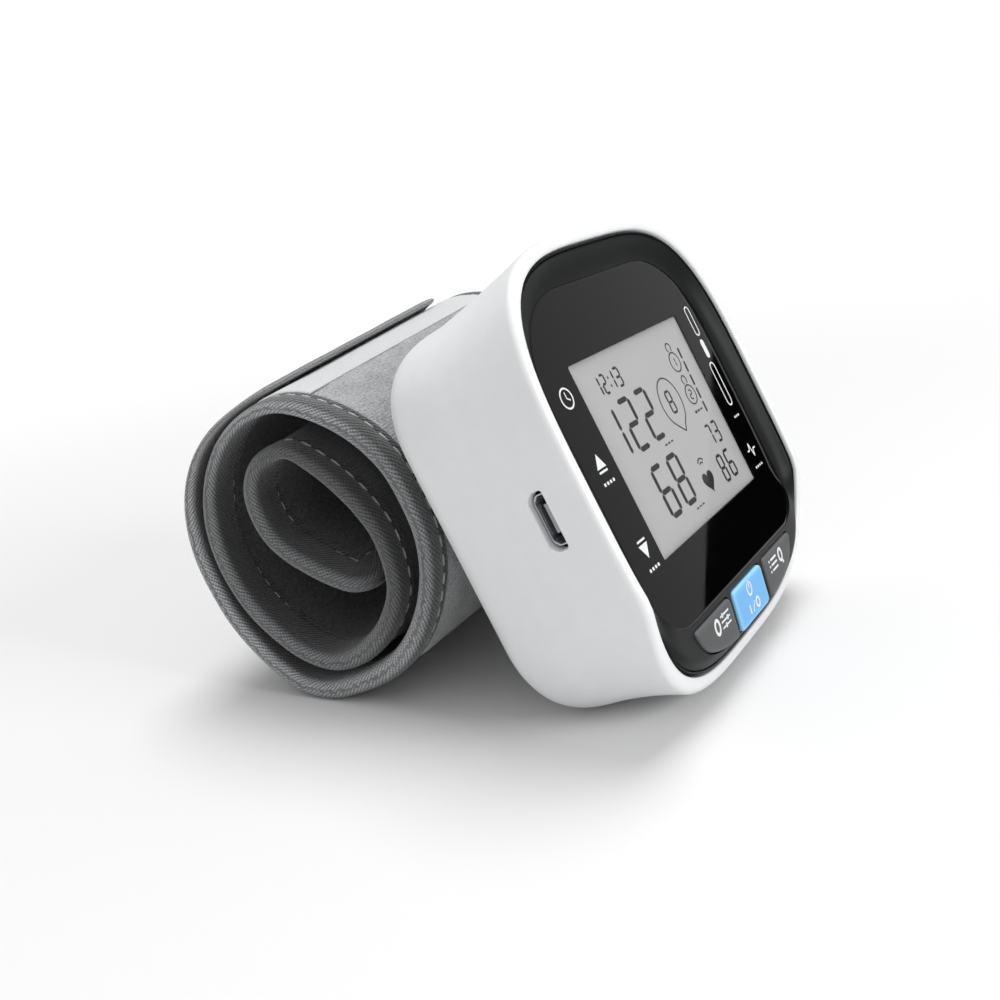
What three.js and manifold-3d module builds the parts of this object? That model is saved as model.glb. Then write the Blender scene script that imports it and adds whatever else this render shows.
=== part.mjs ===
// Wrist blood pressure monitor with a rolled cuff, in millimetres, +Z up.
// The monitor and the cuff are drawn in the frame of the display: x across it, y up along it, z out of it.
// The whole is then turned so that the case and the roll both touch the ground.
import * as THREE from 'three';
import Module from 'manifold-3d';
import { mergeVertices } from 'three/addons/utils/BufferGeometryUtils.js';

const wasm = await Module();
wasm.setup();

// General
const GAP = 0.3;
const CORNER_STEPS = 10;
const ROUND_STEPS = 24;
const CURVE_STEPS = 6;
const WELD = 1e-4;

// Case
const CASE_HALF = 36.6;
const CASE_TOP = 25.6;
const CASE_BOTTOM = -49.3;
const CASE_FLAT = 0.6;
const CASE_TOP_POWER = 3.55;
const CASE_BOTTOM_POWER = 3.5;
const BACK_FLARE = 0.2;
const BACK_HALF = CASE_HALF + BACK_FLARE;
const BACK_TOP = 21.1;
const BACK_BOTTOM = -44.9;
const BACK_TOP_RADIUS = 16.3;
const BACK_BOTTOM_RADIUS = 16.2;
const BACK_TOP_POWER = 2.2;
const BACK_BOTTOM_POWER = 2.1;
const REAR_Z = -28.4;
const BACK_FILLET = 12.1;
const BACK_FILLET_POWER = 3.35;
const BACK_FILLET_STEPS = 6;
const COVER_INSET = 11.5;
const WALL = 2;
const RIM_Z = 1.4;
const RIM_WIDTH = 2.1;
const RIM_ROUND = 1.1;
const RIM_DEPTH = 3.6;
// Rim's profile: inset as a share of its width, drop as a share of its rounding
const RIM_SHARES = [[0, 1], [0.15, 0.4], [0.45, 0], [0.8, 0.15], [1, 0.6]];
const WAIST_SHARE = 0.5;
const BEND_Y = -27.7;
const BEND_RADIUS = 8;
const BEND_ANGLE = 0.358;

// Front panel, lens and display
const LENS_SIDE = 6.4;
const LENS_HALF = CASE_HALF - LENS_SIDE;
const LENS_TOP = 18.2;
const LENS_BOTTOM = -37.1;
const LENS_TOP_RADIUS = 17;
const LENS_BOTTOM_RADIUS = 8;
const LENS_TOP_POWER = 2.2;
const LENS_BOTTOM_POWER = 2;
const LENS_Z = -1.4;
const LENS_THICK = 1.2;
const LEDGE = 2.4;
const PANEL_THICK = 1.6;
const PANEL_EDGE_DROP = 0.6;
const STRIP_EDGE_DROP = 0.7;
const STRIP_ANGLE = 0.19;
const STRIP_RISE_SHARE = 0.263;
const STRIP_POWER = 0.5;
const DISH_POWER = 1.6;
const PANEL_SHARES = [0, 0.08, 0.18, 0.32, 0.5, 0.75, 1];
const PANEL_UNDER_SHARES = [0.9, 0.32, 0.12, 0];
const STRIP_FROM_Y = -27;
const STRIP_TO_Y = -43;
const DISPLAY_SIDE = 7.2;
const DISPLAY_X = 2 * (LENS_HALF - DISPLAY_SIDE);
const DISPLAY_Y = 37.5;
const DISPLAY_THICK = 2.2;
const DISPLAY_MID_Y = -10.1;
const FRAME_WALL = 1.6;
const FRAME_DEPTH = 4;
const CONTACT_INSET = 3;
const CONTACT_X = DISPLAY_X - 2 * CONTACT_INSET;
const CONTACT_Y = 1.6;

// Buttons
const BUTTON_SIDE = 7.3;
const BUTTON_OUTER = LENS_HALF - BUTTON_SIDE;
const BUTTON_SPACE = 1.45;
const POWER_HALF = 6.75;
const SIDE_HALF = (BUTTON_OUTER - POWER_HALF - BUTTON_SPACE) / 2;
const BUTTON_PITCH_X = BUTTON_OUTER - SIDE_HALF;
const BUTTON_LOW = 8.2;
const BUTTON_HIGH = 1.1;
const BUTTON_THICK = 2.2;
const BUTTON_PROUD = 0.45;
const BUTTON_STROKE = 0.5;
const BUTTON_ROUND = 1.2;
// Curved foot of a side button: share across, share up, rounding as a share across, and the way it grows
const SIDE_FOOT = [[0.45, 0.09, 0.204, 0.25, -0.97], [0.85, 0.39, 0.177, 0.75, -0.66]];
const STEM_RADIUS = 1.5;
const PAD_THICK = 0.8;
const PAD_INSET = 1.6;
const PAD_X = 2 * (BUTTON_OUTER - PAD_INSET);
const PAD_Y = 6;
const PAD_HOLE_RADIUS = 2.1;
const SWITCH_SIDE = 4.6;
const SWITCH_TALL = 1.9;
const SWITCH_BORE_RADIUS = 1.3;
const PLUNGER_RADIUS = 1;
const PLUNGER_OUT = 1;
const PLUNGER_SUNK = 1;

// Board and what it carries
const BOARD_TOP_Z = -8.6;
const BOARD_THICK = 1.4;
const BOARD_SIDE = 5.8;
const BOARD_HALF = BACK_HALF - BOARD_SIDE;
const BOARD_TOP = 15;
const BOARD_BOTTOM = -43.5;
const BOARD_CORNER = 13;
const CHIP_WIDE = 9;
const CHIP_THICK = 1.3;
const CHIP_X = 0;
const CHIP_Y = -16;
const SENSOR_SIDE = 6.5;
const SENSOR_THICK = 3.2;
const SENSOR_X = 14;
const SENSOR_Y = -14;
const BUZZER_RADIUS = 4.5;
const BUZZER_THICK = 1.9;
const BUZZER_X = -13;
const BUZZER_Y = -16;
const SOCKET_Y = -12.1;
const SOCKET_Z = -6.6;
const SOCKET_LONG = 8.2;
const SOCKET_TALL = 2.4;
const SOCKET_DEEP = 6;
const SOCKET_WALL = 0.3;
const SOCKET_BEVEL = 0.8;
const MOUTH_LONG = 9.2;
const MOUTH_TALL = 3;
const MOUTH_BEVEL = 1.15;
const MOUTH_REACH = 8;
const TONGUE_LONG = 4.6;
const TONGUE_TALL = 0.6;
const TONGUE_DEEP = 4.4;

// Chassis, battery, pump, valve
const CHASSIS_Z = -15.4;
const CHASSIS_THICK = 1.2;
const CHASSIS_SIDE = 9.8;
const CHASSIS_HALF = BACK_HALF - CHASSIS_SIDE;
const CHASSIS_TOP = 12;
const CHASSIS_BOTTOM = -38;
const CHASSIS_CORNER = 9;
const POST_RADIUS = 2.6;
const POST_SIDE = 4.8;
const POST_X = BACK_HALF - COVER_INSET - POST_SIDE;
const POST_TOP_Y = 5.2;
const POST_BOTTOM_Y = -29.3;
const COVER_THICK = 2;
const SCREW_RADIUS = 1.1;
const SCREW_HEAD_RADIUS = 2.1;
const SCREW_HEAD_TALL = 1.2;
const SCREW_LONG = 7;
const BATTERY_CLEAR = 1.9;
const BATTERY_X = 2 * (POST_X - POST_RADIUS - BATTERY_CLEAR);
const BATTERY_Y = 16;
const BATTERY_THICK = 6;
const BATTERY_MID_Y = 0.6;
const BATTERY_CORNER = 1.4;
const MOTOR_RADIUS = 4.4;
const MOTOR_LONG = 15;
const PUMP_LEFT_SHARE = 0.3778;
const MOTOR_Y = -30.8;
const AIR_Z = -21.6;
const CRANK_RADIUS = 1;
const CRANK_WEB_RADIUS = 2.6;
const CRANK_WEB_THICK = 1.4;
const CRANK_PIN_RADIUS = 0.7;
const CRANK_THROW = 1.3;
const CRANK_PIN_LONG = 1.8;
const CRANK_SUNK = 4;
const HEAD_SIDE = 8.8;
const HEAD_LONG = 7;
const HEAD_WALL = 1.1;
const VALVE_RADIUS = 3.4;
const VALVE_LONG = 9.5;
const VALVE_X = -8;
const VALVE_Y = -19.4;
const VALVE_BORE_RADIUS = 1.4;
const VALVE_PIN_RADIUS = 1.1;
const VALVE_PIN_LONG = 6;
const VALVE_PIN_OUT = 2.4;
const VALVE_STROKE = 1;
const VALVE_FOOT_X = 5;
const VALVE_FOOT_Y = 4;
const MANIFOLD_X = 12;
const MANIFOLD_WIDE = 7;
const MANIFOLD_HIGH = 7.4;
const MANIFOLD_LOW = 3;
const MANIFOLD_Y = -16.4;
const NOZZLE_X = 2;
const NOZZLE_Y = -8.2;
const NOZZLE_RADIUS = 2.2;
const NOZZLE_BORE_RADIUS = 1.2;
const NOZZLE_REACH = 0.8;
const NOZZLE_FLANGE_RADIUS = 3.4;
const NOZZLE_FLANGE_THICK = 1;

// Cuff. Centre line of the roll, from its free end to its inner end: up from its foot and back from the
// case as shares of the span, and thickness as a share of the full one.
const ROLL_BOTTOM = -27.2;
const ROLL_SPAN = 53.5;
const ROLL_GAP = 0.3;
const ROLL_THICK = 3.7;
const ROLL_SUBSTEPS = 2;
const RETURN_STATIONS = 9;
const ROLL_SHARES = [
  [0.989, 0.338, 0.30], [0.990, 0.454, 0.32], [0.966, 0.596, 0.41], [0.925, 0.705, 0.51],
  [0.869, 0.785, 0.65], [0.800, 0.847, 0.78], [0.720, 0.890, 0.92], [0.621, 0.918, 1.00],
  [0.508, 0.925, 1.00], [0.396, 0.916, 1.00], [0.284, 0.882, 1.00], [0.181, 0.832, 1.00],
  [0.097, 0.764, 1.00], [0.049, 0.671, 1.00], [0.036, 0.563, 1.00], [0.039, 0.449, 1.00],
  [0.064, 0.338, 1.00], [0.116, 0.241, 1.00], [0.191, 0.155, 0.97], [0.280, 0.088, 0.97],
  [0.387, 0.045, 0.97], [0.499, 0.034, 0.97], [0.611, 0.043, 0.97], [0.714, 0.084, 0.95],
  [0.807, 0.153, 0.89], [0.886, 0.241, 0.81], [0.935, 0.333, 0.68], [0.950, 0.436, 0.57],
  [0.936, 0.538, 0.57], [0.893, 0.637, 0.65], [0.824, 0.723, 0.78], [0.733, 0.789, 0.92],
  [0.626, 0.828, 0.97], [0.508, 0.836, 0.97], [0.393, 0.815, 0.97], [0.284, 0.764, 0.97],
  [0.191, 0.695, 0.97], [0.131, 0.604, 0.97], [0.120, 0.503, 0.97], [0.146, 0.394, 0.97],
  [0.198, 0.301, 0.97], [0.267, 0.234, 0.97], [0.351, 0.202, 0.97], [0.445, 0.191, 0.97],
  [0.538, 0.209, 0.97], [0.636, 0.249, 0.95], [0.725, 0.303, 0.86], [0.793, 0.364, 0.78],
  [0.811, 0.439, 0.76], [0.794, 0.518, 0.81], [0.738, 0.578, 0.92], [0.662, 0.600, 0.97],
  [0.581, 0.593, 0.97], [0.512, 0.559, 0.97], [0.449, 0.508, 0.97], [0.385, 0.445, 0.95],
  [0.329, 0.372, 0.89], [0.303, 0.321, 0.84],
];
const TAB_STATIONS = 12;
const TAB_GAP = 0.4;
const TAB_EDGE_SHARE = 0.4;
const TILT_MOST = Math.PI / 3;
const TILT_STEPS = 40;
const CUFF_INSET = 0.5;
const CUFF_NEAR_X = -BACK_HALF + CUFF_INSET;
const CUFF_WIDE = 70;
const CUFF_GROWTH_SHARE = 0.118;
const CUFF_LEAN_SHARE = 0.065;
const BINDING_WIDE = 4.4;
const BINDING_ROUND_SHARE = 0.28;
const SHEET_GAP = 0.15;
const FILLING_SPACE = 0.72;
const FILLING_THICK = 0.84;
const FILLING_EASE = 4;
const BLADDER_FROM = 22;
const BLADDER_TO = 48;
const STAY_FROM = 66;
const STAY_TO = 110;
const FILLING_INSET = 7;
const TAB_CORNER = 13;
const PATCH_FROM = 49;
const PATCH_TO = 60;
const PATCH_THICK = 0.3;
const HOOK_FROM = 3;
const HOOK_TO = 9;
const HOOK_INSET = 15;
const HOOK_THICK = 0.3;
const PLATE_CLEAR = 3.4;
const PLATE_X = 2 * (POST_X - SCREW_HEAD_RADIUS - PLATE_CLEAR);
const PLATE_Y = 18;
const PLATE_MID_Y = -12.7;
const PLATE_THICK = 0.9;
const PLATE_CORNER = 3;

// Materials: colour, roughness, metalness
const LOOKS = {
  shell: [0xdcdedf, 0.32, 0],
  cover: [0xd2d4d5, 0.45, 0],
  bezel: [0x26272a, 0.4, 0],
  lens: [0x0a0b0c, 0.08, 0],
  display: [0xbdbfbf, 0.3, 0],
  frame: [0xe6e6e2, 0.6, 0],
  rubber: [0x3a3b3d, 0.8, 0],
  key: [0x55585b, 0.45, 0],
  blue: [0x7cc4f5, 0.4, 0],
  switch: [0x1c1c1e, 0.5, 0],
  brass: [0xc9a24a, 0.3, 1],
  board: [0x1f5a35, 0.5, 0],
  chip: [0x1a1a1c, 0.5, 0],
  steel: [0xb9bcc0, 0.25, 1],
  cell: [0xa8acb2, 0.35, 1],
  chassis: [0x4a4c4f, 0.6, 0],
  airway: [0x8a8d92, 0.5, 0],
  cloth: [0x5c5e61, 0.95, 0],
  lining: [0x48494c, 0.95, 0],
  binding: [0x6d6f72, 0.95, 0],
  bladder: [0x2c2d30, 0.7, 0],
  stay: [0xcfd0cc, 0.5, 0],
  patch: [0xd9dadb, 0.9, 0],
  hook: [0x303134, 0.9, 0],
};

// Solids
const toManifold = (geometry) => {
  const bare = geometry.clone();
  bare.deleteAttribute('normal');
  bare.deleteAttribute('uv');
  const merged = mergeVertices(bare, WELD);
  const mesh = new wasm.Mesh({
    numProp: 3,
    vertProperties: new Float32Array(merged.attributes.position.array),
    triVerts: new Uint32Array(merged.index.array),
  });
  mesh.merge();
  return new wasm.Manifold(mesh);
};

const toGeometry = (manifold) => {
  const mesh = manifold.getMesh();
  const geometry = new THREE.BufferGeometry();
  geometry.setAttribute('position', new THREE.BufferAttribute(new Float32Array(mesh.vertProperties), 3));
  geometry.setIndex(new THREE.BufferAttribute(new Uint32Array(mesh.triVerts), 1));
  return geometry;
};

const cut = (whole, ...tools) => tools.reduce((left, tool) => left.subtract(tool), whole);
const join = (first, ...others) => others.reduce((sum, other) => sum.add(other), first);

const facing = (positions, triangles) => {
  const geometry = new THREE.BufferGeometry();
  const numbers = positions.flatMap((point) => point.toArray());
  geometry.setAttribute('position', new THREE.Float32BufferAttribute(numbers, 3));
  let volume = 0;
  for (const [i, j, k] of triangles) {
    volume += positions[i].dot(new THREE.Vector3().crossVectors(positions[j], positions[k]));
  }
  const faces = volume < 0 ? triangles.map(([i, j, k]) => [i, k, j]) : triangles;
  geometry.setIndex(faces.flat());
  return toManifold(geometry);
};

const between = (rings, i, j, triangles) => {
  const count = rings[0].length;
  for (let n = 0; n < count; n += 1) {
    const m = (n + 1) % count;
    triangles.push([i * count + n, i * count + m, j * count + m]);
    triangles.push([i * count + n, j * count + m, j * count + n]);
  }
};

const ringBody = (rings) => {
  const triangles = [];
  rings.forEach((ring, i) => between(rings, i, (i + 1) % rings.length, triangles));
  return facing(rings.flat(), triangles);
};

const capped = (rings) => {
  const triangles = [];
  const count = rings[0].length;
  const last = (rings.length - 1) * count;
  for (let i = 0; i + 1 < rings.length; i += 1) {
    between(rings, i, i + 1, triangles);
  }
  for (let n = 1; n + 1 < count; n += 1) {
    triangles.push([0, n + 1, n]);
    triangles.push([last, last + n, last + n + 1]);
  }
  return facing(rings.flat(), triangles);
};

const box = (x, y, z, cx, cy, cz) => {
  const geometry = new THREE.BoxGeometry(x, y, z);
  geometry.translate(cx, cy, cz);
  return toManifold(geometry);
};

const rod = (radius, from, to, axis, steps = ROUND_STEPS) => {
  const long = to - from;
  const geometry = new THREE.CylinderGeometry(radius, radius, long, steps);
  if (axis === 'z') {
    geometry.rotateX(Math.PI / 2);
  }
  if (axis === 'x') {
    geometry.rotateZ(Math.PI / 2);
  }
  const centre = { x: 0, y: 0, z: 0 };
  centre[axis] = (from + to) / 2;
  geometry.translate(centre.x, centre.y, centre.z);
  return toManifold(geometry);
};

const moved = (manifold, x, y, z) => manifold.translate([x, y, z]);

const extruded = (shape, thick) => (
  new THREE.ExtrudeGeometry(shape, { depth: thick, bevelEnabled: false, curveSegments: CURVE_STEPS })
);

const plate = (halfX, top, bottom, corner, thick, topZ) => {
  const shape = new THREE.Shape();
  shape.moveTo(-halfX + corner, bottom);
  shape.lineTo(halfX - corner, bottom);
  shape.absarc(halfX - corner, bottom + corner, corner, -Math.PI / 2, 0, false);
  shape.lineTo(halfX, top - corner);
  shape.absarc(halfX - corner, top - corner, corner, 0, Math.PI / 2, false);
  shape.lineTo(-halfX + corner, top);
  shape.absarc(-halfX + corner, top - corner, corner, Math.PI / 2, Math.PI, false);
  shape.lineTo(-halfX, bottom + corner);
  shape.absarc(-halfX + corner, bottom + corner, corner, Math.PI, 1.5 * Math.PI, false);
  const geometry = extruded(shape, thick);
  geometry.translate(0, 0, topZ - thick);
  return toManifold(geometry);
};

// Outlines with blended corners
const caseWide = CASE_HALF - CASE_FLAT;
const caseTall = (CASE_TOP - CASE_BOTTOM) / 2 - CASE_FLAT;
const FRONT = {
  half: CASE_HALF, top: CASE_TOP, bottom: CASE_BOTTOM, topWide: caseWide, topTall: caseTall,
  bottomWide: caseWide, bottomTall: caseTall, topPower: CASE_TOP_POWER, bottomPower: CASE_BOTTOM_POWER,
};
const BACK = {
  half: BACK_HALF, top: BACK_TOP, bottom: BACK_BOTTOM, topWide: BACK_TOP_RADIUS, topTall: BACK_TOP_RADIUS,
  bottomWide: BACK_BOTTOM_RADIUS, bottomTall: BACK_BOTTOM_RADIUS, topPower: BACK_TOP_POWER,
  bottomPower: BACK_BOTTOM_POWER,
};
const LENS = {
  half: LENS_HALF, top: LENS_TOP, bottom: LENS_BOTTOM, topWide: LENS_TOP_RADIUS, topTall: LENS_TOP_RADIUS,
  bottomWide: LENS_BOTTOM_RADIUS, bottomTall: LENS_BOTTOM_RADIUS, topPower: LENS_TOP_POWER,
  bottomPower: LENS_BOTTOM_POWER,
};

const mixed = (one, other, share) => Object.fromEntries(
  Object.keys(one).map((key) => [key, THREE.MathUtils.lerp(one[key], other[key], share)]),
);

const outline = (set, inset) => {
  const half = set.half - inset;
  const top = set.top - inset;
  const bottom = set.bottom + inset;
  const points = [];
  const corner = (side, up, wideAt, tallAt, power, flip) => {
    const wide = Math.max(wideAt - inset, GAP);
    const tall = Math.max(tallAt - inset, GAP);
    for (let n = 0; n <= CORNER_STEPS; n += 1) {
      const turn = ((flip ? CORNER_STEPS - n : n) / CORNER_STEPS) * (Math.PI / 2);
      const x = half - wide + wide * Math.cos(turn) ** (2 / power);
      const y = tall * Math.sin(turn) ** (2 / power);
      points.push([side * x, up > 0 ? top - tall + y : bottom + tall - y]);
    }
  };
  corner(1, 1, set.topWide, set.topTall, set.topPower, false);
  corner(-1, 1, set.topWide, set.topTall, set.topPower, true);
  corner(-1, -1, set.bottomWide, set.bottomTall, set.bottomPower, false);
  corner(1, -1, set.bottomWide, set.bottomTall, set.bottomPower, true);
  return points;
};

const lifted = (points, z) => points.map(([x, y]) => (
  new THREE.Vector3(x, y, typeof z === 'function' ? z(y) : z)
));

// Height of the rim's crest: level, then bent back towards the bottom
const rimZ = (y) => {
  const down = Math.max(BEND_Y - y, 0);
  const arc = BEND_RADIUS * Math.sin(BEND_ANGLE);
  if (down < arc) {
    return RIM_Z - BEND_RADIUS * (1 - Math.sqrt(1 - (down / BEND_RADIUS) ** 2));
  }
  return RIM_Z - BEND_RADIUS * (1 - Math.cos(BEND_ANGLE)) - (down - arc) * Math.tan(BEND_ANGLE);
};

// Case shell: one profile carried round the outline, open at the front and at the rear
const shellRings = () => {
  const rings = [];
  const bendZ = REAR_Z + BACK_FILLET;
  const innerFillet = BACK_FILLET - WALL;
  rings.push(lifted(outline(BACK, COVER_INSET), REAR_Z));
  for (let n = 0; n <= BACK_FILLET_STEPS; n += 1) {
    const turn = (1 - n / BACK_FILLET_STEPS) * (Math.PI / 2);
    const inset = BACK_FILLET * (1 - Math.cos(turn) ** (2 / BACK_FILLET_POWER));
    const z = bendZ - BACK_FILLET * Math.sin(turn) ** (2 / BACK_FILLET_POWER);
    if (inset < COVER_INSET - WALL / 2) {
      rings.push(lifted(outline(BACK, inset), z));
    }
  }
  const waist = mixed(BACK, FRONT, WAIST_SHARE);
  const waistZ = (y) => THREE.MathUtils.lerp(bendZ, rimZ(y), WAIST_SHARE);
  rings.push(lifted(outline(waist, 0), waistZ));
  RIM_SHARES.forEach(([inset, drop]) => {
    rings.push(lifted(outline(FRONT, RIM_WIDTH * inset), (y) => rimZ(y) - RIM_ROUND * drop));
  });
  rings.push(lifted(outline(FRONT, RIM_WIDTH), (y) => rimZ(y) - RIM_DEPTH));
  rings.push(lifted(outline(waist, WALL), waistZ));
  for (let n = BACK_FILLET_STEPS; n >= 0; n -= 1) {
    const turn = (1 - n / BACK_FILLET_STEPS) * (Math.PI / 2);
    const inset = WALL + innerFillet * (1 - Math.cos(turn) ** (2 / BACK_FILLET_POWER));
    const z = bendZ - innerFillet * Math.sin(turn) ** (2 / BACK_FILLET_POWER);
    if (inset < COVER_INSET - WALL / 2) {
      rings.push(lifted(outline(BACK, inset), z));
    }
  }
  rings.push(lifted(outline(BACK, COVER_INSET), REAR_Z + WALL));
  return rings;
};

// Six-sided prism along x: long in y, tall in z, its two rear corners bevelled
const socketPrism = (long, tall, bevel, fromX, toX) => {
  const y = long / 2;
  const z = tall / 2;
  const section = [[-y, z], [-y, -z + bevel], [-y + bevel, -z], [y - bevel, -z], [y, -z + bevel], [y, z]];
  const ring = (x) => section.map(([sy, sz]) => new THREE.Vector3(x, SOCKET_Y + sy, SOCKET_Z + sz));
  return capped([ring(fromX), ring(toX)]);
};

const mouthFromX = -BACK_HALF - WALL;
const socketMouth = socketPrism(MOUTH_LONG, MOUTH_TALL, MOUTH_BEVEL, mouthFromX, mouthFromX + MOUTH_REACH);

// Front panel: dished sides and a convex strip under the lens
const stripShare = (y) => THREE.MathUtils.smoothstep(-y, -STRIP_FROM_Y, -STRIP_TO_Y);
const stripDrop = (y) => (LENS_BOTTOM - y) * Math.tan(STRIP_ANGLE);

const panelZ = (rim, inward, share) => {
  const side = THREE.MathUtils.lerp(rimZ(rim.y) - PANEL_EDGE_DROP, LENS_Z, 1 - (1 - share) ** DISH_POWER);
  const flat = LENS_Z - stripDrop(inward);
  const edge = rimZ(rim.y) - STRIP_EDGE_DROP;
  const rise = Math.min(share / STRIP_RISE_SHARE, 1) ** STRIP_POWER;
  const bulge = THREE.MathUtils.lerp(edge, flat, rise);
  return THREE.MathUtils.lerp(side, bulge, stripShare(rim.y));
};

const panelRing = (share, drop) => {
  const rimPoints = outline(FRONT, RIM_WIDTH + GAP);
  const lensPoints = outline(LENS, 0);
  return rimPoints.map(([x, y], n) => {
    const px = THREE.MathUtils.lerp(x, lensPoints[n][0], share);
    const py = THREE.MathUtils.lerp(y, lensPoints[n][1], share);
    return new THREE.Vector3(px, py, panelZ({ x, y }, py, share) - drop);
  });
};

const panelRings = () => {
  const rings = PANEL_SHARES.map((share) => panelRing(share, 0));
  const seatZ = LENS_Z - LENS_THICK - GAP;
  rings.push(lifted(outline(LENS, 0), seatZ));
  rings.push(lifted(outline(LENS, LEDGE), seatZ));
  rings.push(lifted(outline(LENS, LEDGE), seatZ - PANEL_THICK));
  rings.push(lifted(outline(LENS, 0), seatZ - PANEL_THICK));
  PANEL_UNDER_SHARES.forEach((share) => rings.push(panelRing(share, PANEL_THICK)));
  return rings;
};

// Buttons: outlines on the strip, x across and s down it from the lens
const rounded = (corners) => {
  const shape = new THREE.Shape();
  const count = corners.length;
  corners.forEach(([x, y, radius], n) => {
    const before = new THREE.Vector2(...corners[(n + count - 1) % count]);
    const after = new THREE.Vector2(...corners[(n + 1) % count]);
    const here = new THREE.Vector2(x, y);
    const start = here.clone().add(before.sub(here).setLength(radius));
    const end = here.clone().add(after.sub(here).setLength(radius));
    if (n === 0) {
      shape.moveTo(start.x, start.y);
    } else {
      shape.lineTo(start.x, start.y);
    }
    shape.quadraticCurveTo(x, y, end.x, end.y);
  });
  return shape;
};

const buttonShape = (name, grow) => {
  const low = -BUTTON_LOW - grow;
  const high = -BUTTON_HIGH + grow;
  const round = BUTTON_ROUND + grow;
  if (name === 'power') {
    const half = POWER_HALF + grow;
    return rounded([[-half, low, round], [half, low, round], [half, high, round], [-half, high, round]]);
  }
  const side = name === 'set' ? -1 : 1;
  const inner = side * (BUTTON_PITCH_X - SIDE_HALF - grow);
  const outer = side * (BUTTON_PITCH_X + SIDE_HALF + grow);
  const foot = SIDE_FOOT.map(([across, up, roundShare, outX, outY]) => [
    side * (BUTTON_PITCH_X + SIDE_HALF * (2 * across - 1) + grow * outX),
    THREE.MathUtils.lerp(-BUTTON_LOW, -BUTTON_HIGH, up) + grow * outY,
    roundShare * 2 * SIDE_HALF,
  ]);
  return rounded([[inner, low, round], ...foot, [outer, high, round], [inner, high, round]]);
};

const onStrip = (shape, thick, top) => {
  const geometry = extruded(shape, thick);
  geometry.translate(0, 0, top - thick);
  geometry.rotateX(STRIP_ANGLE);
  geometry.translate(0, LENS_BOTTOM, LENS_Z);
  return toManifold(geometry);
};

const BUTTON_NAMES = ['set', 'power', 'memory'];
const buttonX = { set: -BUTTON_PITCH_X, power: 0, memory: BUTTON_PITCH_X };
const stemPoint = (name, depth) => {
  const mid = -(BUTTON_LOW + BUTTON_HIGH) / 2;
  const y = LENS_BOTTOM + mid * Math.cos(STRIP_ANGLE) - depth * Math.sin(STRIP_ANGLE);
  const z = LENS_Z + mid * Math.sin(STRIP_ANGLE) + depth * Math.cos(STRIP_ANGLE);
  return new THREE.Vector3(buttonX[name], y, z);
};

const alongStrip = (radius, name, from, to, steps = ROUND_STEPS) => {
  const geometry = new THREE.CylinderGeometry(radius, radius, to - from, steps);
  geometry.rotateX(Math.PI / 2);
  geometry.translate(0, 0, (from + to) / 2);
  geometry.rotateX(STRIP_ANGLE);
  const foot = stemPoint(name, 0);
  geometry.translate(foot.x, foot.y, foot.z);
  return toManifold(geometry);
};

const slantedBox = (x, y, from, to, name) => {
  const geometry = new THREE.BoxGeometry(x, y, to - from);
  geometry.translate(0, 0, (from + to) / 2);
  geometry.rotateX(STRIP_ANGLE);
  const foot = stemPoint(name, 0);
  geometry.translate(foot.x, foot.y, foot.z);
  return toManifold(geometry);
};

const capUnder = BUTTON_PROUD - BUTTON_THICK;
const stemTop = (capUnder + BUTTON_PROUD) / 2;
const stemEnd = capUnder - GAP - PAD_THICK - GAP - BUTTON_STROKE;
const plungerTop = stemEnd - GAP;
const switchTop = plungerTop - PLUNGER_OUT;
const switchFoot = switchTop - SWITCH_TALL;
const padTop = capUnder - BUTTON_STROKE - GAP;

// Cuff roll
const rollBack = REAR_Z - ROLL_GAP;
const centreLine = new THREE.CatmullRomCurve3(
  ROLL_SHARES.map(([up, back, thick]) => new THREE.Vector3(
    ROLL_BOTTOM + up * ROLL_SPAN, rollBack - back * ROLL_SPAN, thick * ROLL_THICK,
  )),
  false,
  'centripetal',
);
const STATIONS = (ROLL_SHARES.length - 1) * ROLL_SUBSTEPS;
const stationAt = (n) => {
  const at = centreLine.getPoint(n / STATIONS);
  const along = centreLine.getTangent(n / STATIONS);
  const length = Math.hypot(along.x, along.y);
  return { y: at.x, z: at.y, half: at.z / 2, out: [along.y / length, -along.x / length] };
};
const stations = Array.from({ length: STATIONS + 1 }, (_, n) => stationAt(n));
const stepAt = (n) => Math.hypot(stations[n].y - stations[n - 1].y, stations[n].z - stations[n - 1].z);

// The roll widens along x from a point under the case: that point lies on the ground and on the case's back
const widenFrom = { y: 0, z: rollBack };
const rollPoint = (station, offset, x) => {
  const y = station.y - station.out[0] * offset;
  const z = station.z - station.out[1] * offset;
  const scale = 1 + CUFF_GROWTH_SHARE * ((x - CUFF_NEAR_X) / CUFF_WIDE);
  const lean = CUFF_LEAN_SHARE * (z - rollBack + ROLL_SPAN / 2);
  return new THREE.Vector3(
    x + lean, widenFrom.y + (y - widenFrom.y) * scale, widenFrom.z + (z - widenFrom.z) * scale,
  );
};

// Ground: the tilt at which the case's lowest edge and the roll's lowest side are level
const caseEdge = shellRings().flat();
const heightOf = (y, z, tilt) => y * Math.cos(tilt) + z * Math.sin(tilt);
const lowest = (points, tilt) => (
  points.reduce((low, point) => Math.min(low, heightOf(point.y, point.z, tilt)), Infinity)
);
const rollEdge = stations.slice(TAB_STATIONS).flatMap((s) => [-1, 1].map((side) => ({
  y: s.y - side * s.out[0] * s.half, z: s.z - side * s.out[1] * s.half,
})));
let tiltLow = 0;
let tiltHigh = TILT_MOST;
for (let n = 0; n < TILT_STEPS; n += 1) {
  const middle = (tiltLow + tiltHigh) / 2;
  if (lowest(caseEdge, middle) < lowest(rollEdge, middle)) {
    tiltLow = middle;
  } else {
    tiltHigh = middle;
  }
}
const TILT = (tiltLow + tiltHigh) / 2;
const GROUND = lowest(caseEdge, TILT);
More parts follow.
